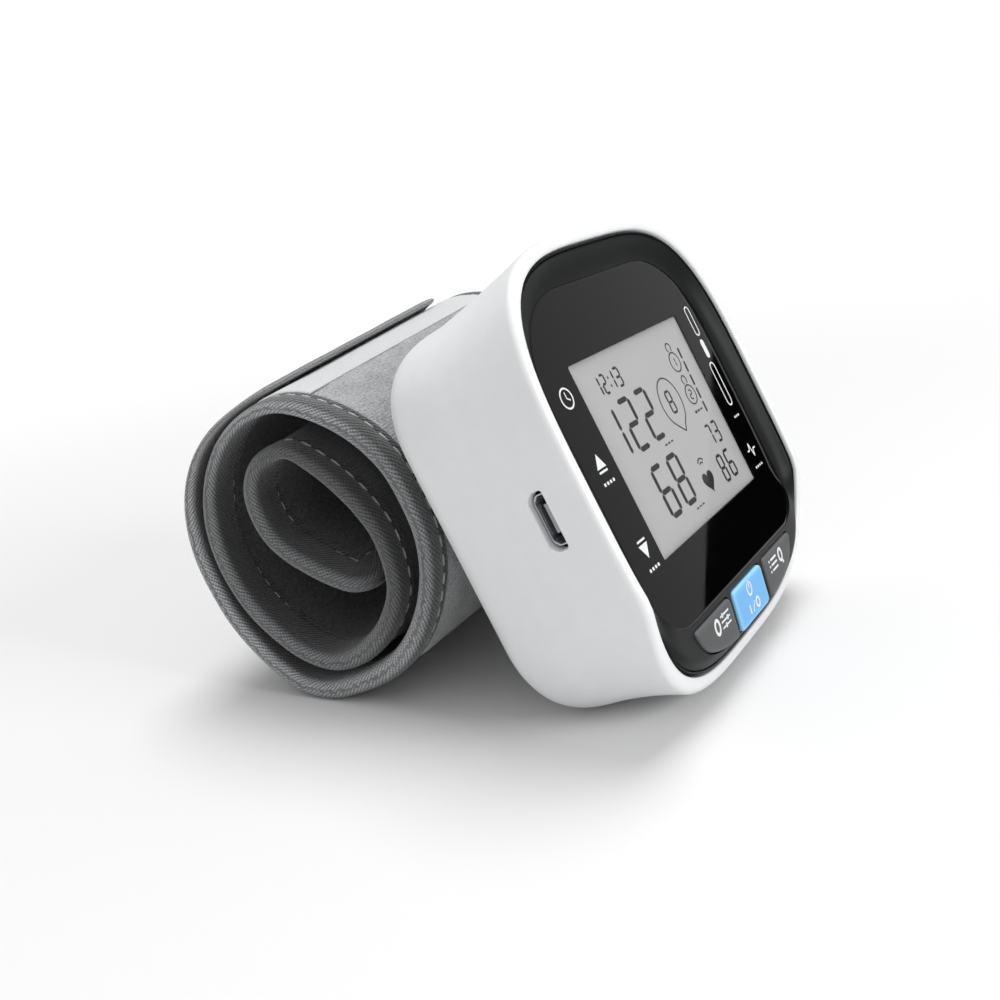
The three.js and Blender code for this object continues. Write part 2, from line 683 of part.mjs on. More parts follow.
widenFrom.y = (GROUND - widenFrom.z * Math.sin(TILT)) / Math.cos(TILT);

// A sheet in the roll: from and to are stations, the faces are given as functions of the station's place
const sheet = (from, to, outer, inner, nearX, farX) => {
  const rings = [];
  for (let n = from; n <= to; n += 1) {
    const s = stations[n];
    rings.push([
      rollPoint(s, outer(s, n), nearX(n)), rollPoint(s, outer(s, n), farX(n)),
      rollPoint(s, inner(s, n), farX(n)), rollPoint(s, inner(s, n), nearX(n)),
    ]);
  }
  return capped(rings);
};

const ease = (n, from, to) => {
  const near = Math.min(n - (from - FILLING_EASE), to + FILLING_EASE - n) / FILLING_EASE;
  return THREE.MathUtils.clamp(near, 0, 1);
};
const fillingHalf = (n) => {
  const share = Math.max(ease(n, BLADDER_FROM, BLADDER_TO), ease(n, STAY_FROM, STAY_TO));
  return THREE.MathUtils.lerp(SHEET_GAP, FILLING_SPACE, share);
};
const farX = CUFF_NEAR_X + CUFF_WIDE;
const nearInner = () => CUFF_NEAR_X + BINDING_WIDE + GAP;
const farInner = () => farX - BINDING_WIDE - GAP;

const binding = (from, to, fromX, toX) => {
  const rings = [];
  const round = BINDING_ROUND_SHARE;
  for (let n = from; n <= to; n += 1) {
    const s = stations[n];
    const h = s.half;
    const wide = toX - fromX;
    const section = [
      [-h, round], [-h, 1 - round], [-h * (1 - round), 1], [h * (1 - round), 1],
      [h, 1 - round], [h, round], [h * (1 - round), 0], [-h * (1 - round), 0],
    ];
    rings.push(section.map(([offset, share]) => rollPoint(s, -offset, fromX + wide * share)));
  }
  return capped(rings);
};

// Free tab: rounded corners at its free end
const tabInset = (n) => {
  let run = 0;
  for (let i = 1; i <= Math.min(n, TAB_STATIONS); i += 1) {
    run += stepAt(i);
  }
  const left = Math.max(TAB_CORNER - run, 0) / TAB_CORNER;
  return TAB_CORNER * (1 - Math.sqrt(1 - left * left));
};
const tab = () => {
  const rings = [];
  for (let n = 0; n <= TAB_STATIONS; n += 1) {
    const s = n < TAB_STATIONS ? stations[n] : stationAt(n - TAB_GAP / stepAt(n));
    const from = CUFF_NEAR_X + tabInset(n);
    const to = farX - tabInset(n);
    const edge = Math.min(s.half, BINDING_WIDE / 2);
    const lip = s.half * TAB_EDGE_SHARE;
    rings.push([
      rollPoint(s, s.half, from + edge), rollPoint(s, s.half, to - edge), rollPoint(s, lip, to),
      rollPoint(s, -lip, to), rollPoint(s, -s.half, to - edge), rollPoint(s, -s.half, from + edge),
      rollPoint(s, -lip, from), rollPoint(s, lip, from),
    ]);
  }
  return capped(rings);
};

// Assembly
const group = new THREE.Group();
group.name = 'wrist_monitor';
const display = new THREE.Group();
display.rotation.x = Math.PI / 2 - TILT;
display.position.z = -GROUND;
group.add(display);

const add = (name, look, manifold, place) => {
  const [color, roughness, metalness] = LOOKS[look];
  const material = new THREE.MeshStandardMaterial({ color, roughness, metalness });
  material.name = name;
  const mesh = new THREE.Mesh(toGeometry(manifold), material);
  mesh.name = name;
  if (place) {
    mesh.position.set(...place);
  }
  display.add(mesh);
  return mesh;
};

// Case
add('case_shell', 'shell', cut(ringBody(shellRings()), socketMouth));
const postPlaces = [
  [-POST_X, POST_TOP_Y], [POST_X, POST_TOP_Y], [-POST_X, POST_BOTTOM_Y], [POST_X, POST_BOTTOM_Y],
];
const coverBody = capped([
  lifted(outline(BACK, COVER_INSET + GAP), REAR_Z),
  lifted(outline(BACK, COVER_INSET + GAP), REAR_Z + COVER_THICK),
]);
const screwHoles = postPlaces.flatMap(([x, y]) => [
  moved(rod(SCREW_RADIUS + GAP, REAR_Z - GAP, REAR_Z + COVER_THICK + GAP, 'z'), x, y, 0),
  moved(rod(SCREW_HEAD_RADIUS + GAP, REAR_Z - GAP, REAR_Z + SCREW_HEAD_TALL + GAP, 'z'), x, y, 0),
]);
const nozzleHole = moved(
  rod(NOZZLE_RADIUS + GAP, REAR_Z - GAP, REAR_Z + COVER_THICK + GAP, 'z'), NOZZLE_X, NOZZLE_Y, 0,
);
const platePocket = plate(
  PLATE_X / 2 + GAP, PLATE_MID_Y + PLATE_Y / 2 + GAP, PLATE_MID_Y - PLATE_Y / 2 - GAP, PLATE_CORNER + GAP,
  PLATE_THICK + 2 * GAP, REAR_Z + PLATE_THICK + GAP,
);
add('rear_cover', 'cover', cut(coverBody, platePocket, nozzleHole, ...screwHoles));
const plateBody = plate(
  PLATE_X / 2, PLATE_MID_Y + PLATE_Y / 2, PLATE_MID_Y - PLATE_Y / 2, PLATE_CORNER, PLATE_THICK,
  REAR_Z + PLATE_THICK,
);
add('cuff_plate', 'chassis', cut(plateBody, nozzleHole));
postPlaces.forEach(([x, y], n) => {
  const head = moved(rod(SCREW_HEAD_RADIUS, REAR_Z, REAR_Z + SCREW_HEAD_TALL, 'z'), x, y, 0);
  const shank = moved(rod(SCREW_RADIUS, REAR_Z, REAR_Z + SCREW_LONG, 'z'), x, y, 0);
  add(`case_screw_${n + 1}`, 'steel', join(head, shank));
});

// Front panel, lens, display
const buttonHoles = BUTTON_NAMES.map((name) => (
  onStrip(buttonShape(name, GAP), RIM_DEPTH + PANEL_THICK * 2, RIM_DEPTH / 2)
));
add('front_panel', 'bezel', cut(ringBody(panelRings()), ...buttonHoles));
add('display_lens', 'lens', capped([
  lifted(outline(LENS, GAP), LENS_Z - LENS_THICK), lifted(outline(LENS, GAP), LENS_Z),
]));
const displayTop = LENS_Z - LENS_THICK - GAP;
const frameTop = displayTop;
const frameOpen = box(
  DISPLAY_X + 2 * GAP, DISPLAY_Y + 2 * GAP, DISPLAY_THICK + GAP,
  0, DISPLAY_MID_Y, frameTop - (DISPLAY_THICK + GAP) / 2,
);
const frameOuter = box(
  DISPLAY_X + 2 * FRAME_WALL, DISPLAY_Y + 2 * FRAME_WALL, FRAME_DEPTH,
  0, DISPLAY_MID_Y, frameTop - FRAME_DEPTH / 2,
);
const contactY = DISPLAY_MID_Y - DISPLAY_Y / 2 + CONTACT_Y;
const contactTall = -BOARD_TOP_Z + displayTop - DISPLAY_THICK - 2 * GAP;
const contactHole = box(
  CONTACT_X + 2 * GAP, CONTACT_Y + 2 * GAP, FRAME_DEPTH * 2, 0, contactY, frameTop - FRAME_DEPTH,
);
add('display_glass', 'display', box(
  DISPLAY_X, DISPLAY_Y, DISPLAY_THICK, 0, DISPLAY_MID_Y, displayTop - DISPLAY_THICK / 2,
));
add('display_frame', 'frame', cut(frameOuter, frameOpen, contactHole));
add('contact_strip', 'rubber', box(
  CONTACT_X, CONTACT_Y, contactTall, 0, contactY, BOARD_TOP_Z + GAP + contactTall / 2,
));

// Buttons, pad, switches
BUTTON_NAMES.forEach((name) => {
  const look = name === 'power' ? 'blue' : 'key';
  const cap = onStrip(buttonShape(name, 0), BUTTON_THICK, BUTTON_PROUD);
  add(`${name}_button`, look, join(cap, alongStrip(STEM_RADIUS, name, stemEnd, stemTop)));
  const body = slantedBox(SWITCH_SIDE, SWITCH_SIDE, switchFoot, switchTop, name);
  const boreFoot = switchTop - PLUNGER_SUNK - BUTTON_STROKE;
  const bore = alongStrip(SWITCH_BORE_RADIUS, name, boreFoot, switchTop + GAP);
  add(`${name}_switch`, 'switch', cut(body, bore));
  const plungerFoot = switchTop - PLUNGER_SUNK + GAP;
  add(`${name}_plunger`, 'brass', alongStrip(PLUNGER_RADIUS, name, plungerFoot, plungerTop));
});
const padBody = slantedBox(PAD_X, PAD_Y, padTop - PAD_THICK, padTop, 'power');
const padHoles = BUTTON_NAMES.map((name) => (
  alongStrip(PAD_HOLE_RADIUS, name, padTop - PAD_THICK * 2, padTop + PAD_THICK)
));
add('button_pad', 'rubber', cut(padBody, ...padHoles));

// Board
const switchRooms = BUTTON_NAMES.map((name) => (
  slantedBox(SWITCH_SIDE + 2 * GAP, SWITCH_SIDE + 2 * GAP, switchFoot - GAP, switchTop, name)
));
const boardBody = plate(BOARD_HALF, BOARD_TOP, BOARD_BOTTOM, BOARD_CORNER, BOARD_THICK, BOARD_TOP_Z);
add('circuit_board', 'board', cut(boardBody, ...switchRooms));
const boardUnder = BOARD_TOP_Z - BOARD_THICK - GAP;
add('controller_chip', 'chip', box(
  CHIP_WIDE, CHIP_WIDE, CHIP_THICK, CHIP_X, CHIP_Y, boardUnder - CHIP_THICK / 2,
));
add('pressure_sensor', 'frame', box(
  SENSOR_SIDE, SENSOR_SIDE, SENSOR_THICK, SENSOR_X, SENSOR_Y, boardUnder - SENSOR_THICK / 2,
));
const buzzerBody = rod(BUZZER_RADIUS, boardUnder - BUZZER_THICK, boardUnder, 'z');
add('buzzer', 'chip', moved(buzzerBody, BUZZER_X, BUZZER_Y, 0));

// Micro-USB socket
const socketFrom = -BACK_HALF + WALL / 2;
const shellOut = socketPrism(SOCKET_LONG, SOCKET_TALL, SOCKET_BEVEL, socketFrom, socketFrom + SOCKET_DEEP);
const shellIn = socketPrism(
  SOCKET_LONG - 2 * SOCKET_WALL, SOCKET_TALL - 2 * SOCKET_WALL, SOCKET_BEVEL,
  socketFrom - GAP, socketFrom + SOCKET_DEEP - SOCKET_WALL,
);
add('usb_socket', 'steel', cut(shellOut, shellIn));
add('usb_tongue', 'chip', box(
  TONGUE_DEEP, TONGUE_LONG, TONGUE_TALL,
  socketFrom + SOCKET_DEEP - SOCKET_WALL - GAP - TONGUE_DEEP / 2, SOCKET_Y, SOCKET_Z,
));

// Chassis and battery
const chassisBody = plate(
  CHASSIS_HALF, CHASSIS_TOP, CHASSIS_BOTTOM, CHASSIS_CORNER, CHASSIS_THICK, CHASSIS_Z,
);
const posts = postPlaces.map(([x, y]) => (
  moved(rod(POST_RADIUS, REAR_Z + COVER_THICK + GAP, CHASSIS_Z - CHASSIS_THICK / 2, 'z'), x, y, 0)
));
const postBores = postPlaces.map(([x, y]) => (
  moved(rod(SCREW_RADIUS + GAP, REAR_Z, REAR_Z + SCREW_LONG + GAP, 'z'), x, y, 0)
));
add('inner_chassis', 'chassis', cut(join(chassisBody, ...posts), ...postBores));
const batteryTop = CHASSIS_Z - CHASSIS_THICK - GAP;
const batteryShape = plate(
  BATTERY_X / 2, BATTERY_MID_Y + BATTERY_Y / 2, BATTERY_MID_Y - BATTERY_Y / 2, BATTERY_CORNER,
  BATTERY_THICK, batteryTop,
);
const nozzleRoom = moved(rod(NOZZLE_FLANGE_RADIUS + GAP, REAR_Z, CHASSIS_Z, 'z'), NOZZLE_X, NOZZLE_Y, 0);
add('battery_cell', 'cell', cut(batteryShape, nozzleRoom));

// Pump: motor, crank and head along x
const pumpRoom = 2 * (POST_X - POST_RADIUS);
const pumpSlack = pumpRoom - HEAD_LONG - GAP - MOTOR_LONG;
const headFrom = pumpSlack * PUMP_LEFT_SHARE - pumpRoom / 2;
const webTo = headFrom + HEAD_LONG;
const motorTo = webTo + GAP;
const motorFrom = motorTo + MOTOR_LONG;
const atMotor = (manifold) => moved(manifold, 0, MOTOR_Y, AIR_Z);
add('pump_motor', 'steel', cut(
  atMotor(rod(MOTOR_RADIUS, motorTo, motorFrom, 'x')),
  atMotor(rod(CRANK_RADIUS + GAP, motorTo - GAP, motorTo + CRANK_SUNK + GAP, 'x')),
));
const webFrom = webTo - CRANK_WEB_THICK;
const crankPin = rod(CRANK_PIN_RADIUS, webFrom - CRANK_PIN_LONG, webFrom + CRANK_WEB_THICK / 2, 'x');
const crankParts = join(
  rod(CRANK_RADIUS, webTo - CRANK_WEB_THICK / 2, motorTo + CRANK_SUNK, 'x'),
  rod(CRANK_WEB_RADIUS, webFrom, webTo, 'x'),
  moved(crankPin, 0, CRANK_THROW, 0),
);
add('pump_crank', 'brass', crankParts, [0, MOTOR_Y, AIR_Z]);
const headOuter = box(HEAD_LONG, HEAD_SIDE, HEAD_SIDE, headFrom + HEAD_LONG / 2, MOTOR_Y, AIR_Z);
const headInner = atMotor(rod(CRANK_WEB_RADIUS + GAP, headFrom + HEAD_WALL, webTo + GAP, 'x'));
add('pump_head', 'airway', cut(headOuter, headInner));

// Release valve along x, its pin sliding out of the body
const atValve = (manifold) => moved(manifold, 0, VALVE_Y, AIR_Z);
const valveFrom = VALVE_X - VALVE_LONG / 2;
const valveTo = VALVE_X + VALVE_LONG / 2;
const boreFrom = valveTo - (VALVE_PIN_LONG - VALVE_PIN_OUT) - VALVE_STROKE - GAP;
const valveFootTall = batteryTop - AIR_Z;
const valveFoot = box(VALVE_FOOT_X, VALVE_FOOT_Y, valveFootTall, VALVE_X, 0, valveFootTall / 2);
add('valve_body', 'cell', cut(
  atValve(join(rod(VALVE_RADIUS, valveFrom, valveTo, 'x'), valveFoot)),
  atValve(rod(VALVE_BORE_RADIUS, boreFrom, valveTo + GAP, 'x')),
));
const pinFrom = valveTo - (VALVE_PIN_LONG - VALVE_PIN_OUT);
add('valve_pin', 'brass', atValve(rod(VALVE_PIN_RADIUS, pinFrom, pinFrom + VALVE_PIN_LONG, 'x')));

// Air manifold and nozzle
const manifoldFoot = AIR_Z - MANIFOLD_LOW;
add('air_manifold', 'airway', box(
  MANIFOLD_WIDE, MANIFOLD_HIGH, batteryTop - manifoldFoot,
  MANIFOLD_X, MANIFOLD_Y, (batteryTop + manifoldFoot) / 2,
));
const flangeFoot = REAR_Z + COVER_THICK + GAP;
const nozzleBody = join(
  rod(NOZZLE_RADIUS, REAR_Z - ROLL_GAP - NOZZLE_REACH, CHASSIS_Z - CHASSIS_THICK - GAP, 'z'),
  rod(NOZZLE_FLANGE_RADIUS, flangeFoot, flangeFoot + NOZZLE_FLANGE_THICK, 'z'),
);
const nozzleBore = rod(NOZZLE_BORE_RADIUS, REAR_Z - ROLL_THICK, CHASSIS_Z, 'z');
add('air_nozzle', 'airway', moved(cut(nozzleBody, nozzleBore), NOZZLE_X, NOZZLE_Y, 0));

// Cuff
const bandFrom = TAB_STATIONS;
const nozzleThrough = moved(
  rod(NOZZLE_RADIUS + GAP, REAR_Z - ROLL_THICK / 2, REAR_Z, 'z'), NOZZLE_X, NOZZLE_Y, 0,
);
const coverSheet = sheet(
  bandFrom, STATIONS, (s) => s.half, (s, n) => fillingHalf(n), nearInner, farInner,
);
const patchNear = () => nearInner() + 2 * GAP;
const patchFar = () => farInner() - 2 * GAP;
const patchRoom = sheet(
  PATCH_FROM - 1, PATCH_TO + 1, (s) => s.half + GAP, (s) => s.half - PATCH_THICK - SHEET_GAP,
  () => patchNear() - GAP, () => patchFar() + GAP,
);
add('cuff_cover', 'cloth', cut(coverSheet, nozzleThrough, patchRoom));
add('loop_patch', 'patch', sheet(
  PATCH_FROM, PATCH_TO, (s) => s.half, (s) => s.half - PATCH_THICK, patchNear, patchFar,
));
add('cuff_lining', 'lining', sheet(
  bandFrom, STATIONS, (s, n) => -fillingHalf(n), (s) => -s.half, nearInner, farInner,
));
add('cuff_binding_near', 'binding', binding(bandFrom, STATIONS, CUFF_NEAR_X, CUFF_NEAR_X + BINDING_WIDE));
add('cuff_binding_far', 'binding', binding(bandFrom, STATIONS, farX - BINDING_WIDE, farX));
const fillingNear = () => CUFF_NEAR_X + FILLING_INSET;
const fillingFar = () => farX - FILLING_INSET;
add('air_bladder', 'bladder', sheet(
  BLADDER_FROM, BLADDER_TO, () => FILLING_THICK / 2, () => -FILLING_THICK / 2, fillingNear, fillingFar,
));
add('curl_stay', 'stay', sheet(
  STAY_FROM, STAY_TO, () => FILLING_THICK / 2, () => -FILLING_THICK / 2, fillingNear, fillingFar,
));
const hookNear = () => CUFF_NEAR_X + HOOK_INSET;
const hookFar = () => farX - HOOK_INSET;
const hookRoom = sheet(
  HOOK_FROM - 1, HOOK_TO + 1, (s) => -s.half + HOOK_THICK + SHEET_GAP, (s) => -s.half - GAP,
  () => hookNear() - GAP, () => hookFar() + GAP,
);
add('closing_tab', 'cloth', cut(tab(), hookRoom));
add('hook_patch', 'hook', sheet(
  HOOK_FROM, HOOK_TO, (s) => -s.half + HOOK_THICK, (s) => -s.half, hookNear, hookFar,
));

// Origin: on the ground, under the middle of the whole
group.updateMatrixWorld(true);
const middle = new THREE.Box3().setFromObject(group, true).getCenter(new THREE.Vector3());
display.position.x = -middle.x;
display.position.y = -middle.y;

let narrowest = Infinity;
stations.forEach((one, n) => {
  stations.slice(n + RETURN_STATIONS).forEach((other) => {
    const apart = Math.hypot(one.y - other.y, one.z - other.z) - one.half - other.half;
    narrowest = Math.min(narrowest, apart);
  });
});
console.log(`least gap of the roll to itself ${narrowest.toFixed(2)} mm`);

export default group;
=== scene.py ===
# %% [markdown]
# # A wrist blood pressure monitor with its rolled cuff
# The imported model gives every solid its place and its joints. This script dresses it: each visible part
# is modelled again with rounded edges, cloth, stitches and printed marks, and gets a material that is
# worked out from the real one. Lengths are in millimetres here and become metres when a piece is placed.

import math
from bisect import bisect_right

import bmesh
import bpy
from mathutils import Matrix, Vector, noise
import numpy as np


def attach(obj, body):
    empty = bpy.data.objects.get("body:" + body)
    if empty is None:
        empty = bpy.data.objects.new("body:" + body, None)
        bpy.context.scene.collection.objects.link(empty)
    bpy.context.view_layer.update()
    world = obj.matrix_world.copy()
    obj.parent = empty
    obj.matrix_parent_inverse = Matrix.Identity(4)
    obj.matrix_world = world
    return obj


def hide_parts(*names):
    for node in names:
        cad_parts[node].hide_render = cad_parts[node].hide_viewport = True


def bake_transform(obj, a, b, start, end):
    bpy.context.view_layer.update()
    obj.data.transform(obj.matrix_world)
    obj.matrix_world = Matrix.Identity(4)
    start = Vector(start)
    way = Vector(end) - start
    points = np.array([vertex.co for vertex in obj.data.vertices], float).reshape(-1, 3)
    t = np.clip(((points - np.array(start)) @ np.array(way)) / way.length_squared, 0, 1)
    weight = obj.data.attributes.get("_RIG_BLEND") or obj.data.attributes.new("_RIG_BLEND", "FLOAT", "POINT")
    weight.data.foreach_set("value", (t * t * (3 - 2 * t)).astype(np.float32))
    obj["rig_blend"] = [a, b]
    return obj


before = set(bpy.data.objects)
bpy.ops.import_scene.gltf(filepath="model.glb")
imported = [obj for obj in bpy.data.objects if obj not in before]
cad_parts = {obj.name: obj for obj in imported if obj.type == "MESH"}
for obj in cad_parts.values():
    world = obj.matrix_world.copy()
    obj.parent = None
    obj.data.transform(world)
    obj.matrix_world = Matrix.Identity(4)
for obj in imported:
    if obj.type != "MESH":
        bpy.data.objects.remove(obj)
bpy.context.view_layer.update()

# %% [markdown]
# ## The two frames
# The monitor is easiest to draw flat: x across the display, y up along it and z out of it. The real one
# leans back on its cuff, so one matrix tilts each finished mesh, moves it and turns it into metres.

# %% Place of the display and of the button strip
MM = 0.001
TILT = 1.1663484318
DISPLAY_AT = Vector((0.532257, -34.261004, 49.924219))
LENS_BOTTOM = -37.1
LENS_Z = -1.4
STRIP_ANGLE = 0.19
SCALE = Matrix.Scale(MM, 4)
DISPLAY_PLACE = SCALE @ Matrix.Translation(DISPLAY_AT) @ Matrix.Rotation(TILT, 4, "X")
STRIP_TURN = Matrix.Rotation(STRIP_ANGLE, 4, "X")
STRIP_PLACE = DISPLAY_PLACE @ Matrix.Translation((0, LENS_BOTTOM, LENS_Z)) @ STRIP_TURN
print("lens foot", STRIP_PLACE.translation)

# %% [markdown]
# ## Camera
# The camera stands on the left of the monitor and looks past the cuff. Its place and its axes are given
# in the display's frame, where they were solved from the corners of the display and the curve of the rim.

# %% Camera
CAMERA_AT = Vector((-163.59, 3.45, 84.11))
CAMERA_RIGHT = Vector((0.51478, -0.45583, 0.72610))
CAMERA_UP = Vector((0.31974, 0.88791, 0.33072))


def add_object(name, data):
    """An object of the scene for its data: a mesh, a lamp or a camera."""
    made = bpy.data.objects.new(name, data)
    bpy.context.scene.collection.objects.link(made)
    return made


camera_data = bpy.data.cameras.new("photo_camera")
camera_data.lens = 39.6
camera_data.sensor_width = 36
camera = add_object("photo_camera", camera_data)
camera_turn = Matrix((CAMERA_RIGHT, CAMERA_UP, CAMERA_RIGHT.cross(CAMERA_UP))).transposed()
camera_place = DISPLAY_PLACE @ Matrix.Translation(CAMERA_AT) @ camera_turn.to_4x4()
camera.location = camera_place.translation
camera.rotation_euler = camera_place.to_quaternion().to_euler()
bpy.context.scene.camera = camera
print("camera at", tuple(round(v, 4) for v in camera.location))

# %% [markdown]
# ## Colours and nodes
# Colours are written as sRGB hex values, as they are read off a picture, and one function turns them to
# the linear values that a shader wants. One more function adds a node with its settings and its links.


# %% Colour, node and material helpers
def paint(code):
    """A hex colour as a linear RGBA value."""
    parts = [int(code[n : n + 2], 16) / 255 for n in (1, 3, 5)]
    linear = [c / 12.92 if c <= 0.04045 else ((c + 0.055) / 1.055) ** 2.4 for c in parts]
    return (*linear, 1.0)


def add_node(tree, kind, inputs=None, **settings):
    """Adds a node: settings are its properties, inputs are values, or nodes or sockets to link."""
    made = tree.nodes.new("ShaderNode" + kind)
    for key, value in settings.items():
        setattr(made, key, value)
    for key, value in (inputs or {}).items():
        if isinstance(value, bpy.types.Node):
            value = value.outputs[0]
        if isinstance(value, bpy.types.NodeSocket):
            tree.links.new(value, made.inputs[key])
        else:
            made.inputs[key].default_value = value
    return made


def read(tree, layer, output="Fac"):
    """What a sweep wrote in one of its layers: edge, the painted light and shade, as a number; weave as a
    vector.
    """
    return add_node(tree, "Attribute", attribute_name=layer).outputs[output]


def new_finish(name, colour, roughness, **sockets):
    """A material with one Principled shader. Returns the material, its tree and the shader."""
    finish = bpy.data.materials.new(name)
    finish.use_nodes = True
    surface = finish.node_tree.nodes["Principled BSDF"]
    surface.inputs["Base Color"].default_value = paint(colour)
    surface.inputs["Roughness"].default_value = roughness
    for key, value in sockets.items():
        surface.inputs[key.replace("_", " ")].default_value = value
    return finish, finish.node_tree, surface


def grain(tree, scale, detail=2.0, **inputs):
    """A mottled texture in the piece's own millimetres, with about scale spots in each."""
    place = add_node(tree, "TexCoord").outputs["Object"]
    millimetres = add_node(tree, "VectorMath", {0: place, "Scale": 1 / MM}, operation="SCALE")
    return add_node(tree, "TexNoise", {"Vector": millimetres, "Scale": scale, "Detail": detail, **inputs})


def vary(surface, texture, colours=None, painted_shading=None, gloss=None, bump=None):
    """Lets a texture vary a finish.

    Colours are {place: hex}, and a dimming range scales them from one number to another along the edge
    attribute, which holds painted light and shade.
    Gloss is a range of roughness, perhaps with the range of the texture. Bump is a height in metres.
    """
    tree = surface.id_data
    links = {}
    if colours:
        ramp = add_node(tree, "ValToRGB", {"Fac": texture})
        stops = ramp.color_ramp.elements
        for n, (place, code) in enumerate(colours.items()):
            stop = stops[n] if n < 2 else stops.new(place)
            stop.position = place
            stop.color = paint(code)
        links["Base Color"] = ramp
    if painted_shading:
        light = {"Value": read(tree, "edge"), "To Min": painted_shading[0], "To Max": painted_shading[1]}
        dim = add_node(tree, "MapRange", light)
        links["Base Color"] = add_node(tree, "VectorMath", {0: ramp, "Scale": dim}, operation="SCALE")
    if gloss:
        reach = dict(zip(("To Min", "To Max", "From Min", "From Max"), gloss))
        links["Roughness"] = add_node(tree, "MapRange", {"Value": texture, **reach})
    if bump:
        links["Normal"] = add_node(tree, "Bump", {"Height": texture, "Distance": bump})
    for key, node in links.items():
        tree.links.new(node.outputs[0], surface.inputs[key])


# %% [markdown]
# ## Floor and light
# A pale table that fades to white out of sight, lit by a studio tent and one broad lamp overhead, which
# keeps the soft shadow close under the object. The tent is brighter above and behind on the left, so the
# turns of the cuff are lit on one flank, and a small softbox stands before the display and its rim.
# The tent and the table are full white only to the camera; the light they cast is lower, so that a colour
# renders about as it is written.

# %% Floor
FLOOR_HALF = 12.0
FADE_FROM = 0.12
FADE_TO = 0.4
TENT_MIRRORED = 0.62


def ray_kinds(tree):
    """Two outputs: 1 for the camera's rays, and 1 for rays by way of a mirror or through glass."""
    rays = add_node(tree, "LightPath").outputs
    bounced = {0: rays["Is Glossy Ray"], 1: rays["Is Transmission Ray"]}
    return rays["Is Camera Ray"], add_node(tree, "Math", bounced, operation="MAXIMUM")


floor_finish, floor_tree, floor_surface = new_finish(
    "matt_white_paper", "#efefef", 0.9, Specular_IOR_Level=0.2
)
vary(floor_surface, add_node(floor_tree, "TexNoise", {"Scale": 900.0, "Detail": 3.0}), bump=0.00002)
floor_place = add_node(floor_tree, "TexCoord").outputs["Object"]
floor_reach = add_node(floor_tree, "VectorMath", {0: floor_place}, operation="LENGTH").outputs["Value"]
fade_range = {"Value": floor_reach, "From Min": FADE_FROM, "From Max": FADE_TO}
floor_fade = add_node(floor_tree, "MapRange", fade_range, interpolation_type="SMOOTHSTEP")
floor_camera, floor_bounced = ray_kinds(floor_tree)
floor_seen = add_node(floor_tree, "Math", {0: floor_camera, 1: floor_bounced}, operation="MAXIMUM")
floor_share = add_node(floor_tree, "Math", {0: floor_fade, 1: floor_seen}, operation="MULTIPLY")
vary(floor_surface, floor_seen, {0: "#dadada", 1: "#e0e0e0"})
floor_levels = {"Value": floor_camera, "To Min": TENT_MIRRORED, "To Max": 1.0}
floor_level = add_node(floor_tree, "MapRange", floor_levels)
floor_white = add_node(floor_tree, "Emission", {"Strength": floor_level})
floor_mix = add_node(floor_tree, "MixShader", {0: floor_share, 1: floor_surface, 2: floor_white})
floor_tree.links.new(floor_mix.outputs[0], floor_tree.nodes["Material Output"].inputs["Surface"])
floor_bm = bmesh.new()
bmesh.ops.create_grid(floor_bm, x_segments=8, y_segments=8, size=FLOOR_HALF)
floor_mesh = bpy.data.meshes.new("floor")
floor_bm.to_mesh(floor_mesh)
floor_bm.free()
floor_mesh.materials.append(floor_finish)
add_object("floor", floor_mesh)
print("floor", 2 * FLOOR_HALF, "m wide")

# %% World and lamp
TENT_LIGHT = 0.34
TENT_SWING = 0.36
TENT_LEAST = 0.05
TENT_SEEN = 1.0
TENT_FACES = Vector((-0.5, 0.08, 0.85)).normalized()
LAMP_STRENGTH = 2.0
LAMP_SPREAD = math.radians(34)
LAMP_FROM = Vector((0.3, 0.08, 1.0))

world = bpy.data.worlds.new("studio_tent")
world.use_nodes = True
bpy.context.scene.world = world
tent = world.node_tree
tent.nodes.clear()
tent_camera, tent_bounced = ray_kinds(tent)
tent_way = {0: add_node(tent, "TexCoord").outputs["Generated"], 1: tuple(TENT_FACES)}
tent_turn = add_node(tent, "VectorMath", tent_way, operation="DOT_PRODUCT").outputs["Value"]
tent_level = add_node(tent, "Math", {0: tent_turn, 1: TENT_SWING, 2: TENT_LIGHT}, operation="MULTIPLY_ADD")
tent_dim = add_node(tent, "Math", {0: tent_level, 1: TENT_LEAST}, operation="MAXIMUM")
casts, mirrored, seen = [
    add_node(tent, "Background", {"Color": (1, 1, 1, 1), "Strength": level})
    for level in (tent_dim, TENT_MIRRORED, TENT_SEEN)
]
half_mix = add_node(tent, "MixShader", {0: tent_bounced, 1: casts, 2: mirrored})
full_mix = add_node(tent, "MixShader", {0: tent_camera, 1: half_mix, 2: seen})
add_node(tent, "OutputWorld", {"Surface": full_mix})

lamp_data = bpy.data.lights.new("broad_lamp", "SUN")
lamp_data.energy = LAMP_STRENGTH
lamp_data.angle = LAMP_SPREAD
lamp = add_object("broad_lamp", lamp_data)
lamp.rotation_euler = LAMP_FROM.to_track_quat("Z", "Y").to_euler()
bpy.context.scene.view_settings.view_transform = "Standard"
print("lamp from", tuple(LAMP_FROM.normalized()))

# %% Softbox before the display
BOX_AWAY = 600.0
BOX_SIZE = 0.2
BOX_POWER = 1.6

box_data = bpy.data.lights.new("softbox", "AREA")
box_data.size = BOX_SIZE
box_data.energy = BOX_POWER
softbox = add_object("softbox", box_data)
softbox.location = DISPLAY_PLACE @ Vector((0, 0, BOX_AWAY))
softbox.rotation_euler = (softbox.location - DISPLAY_PLACE.translation).to_track_quat("Z", "Y").to_euler()
print("softbox at", tuple(round(v, 3) for v in softbox.location))

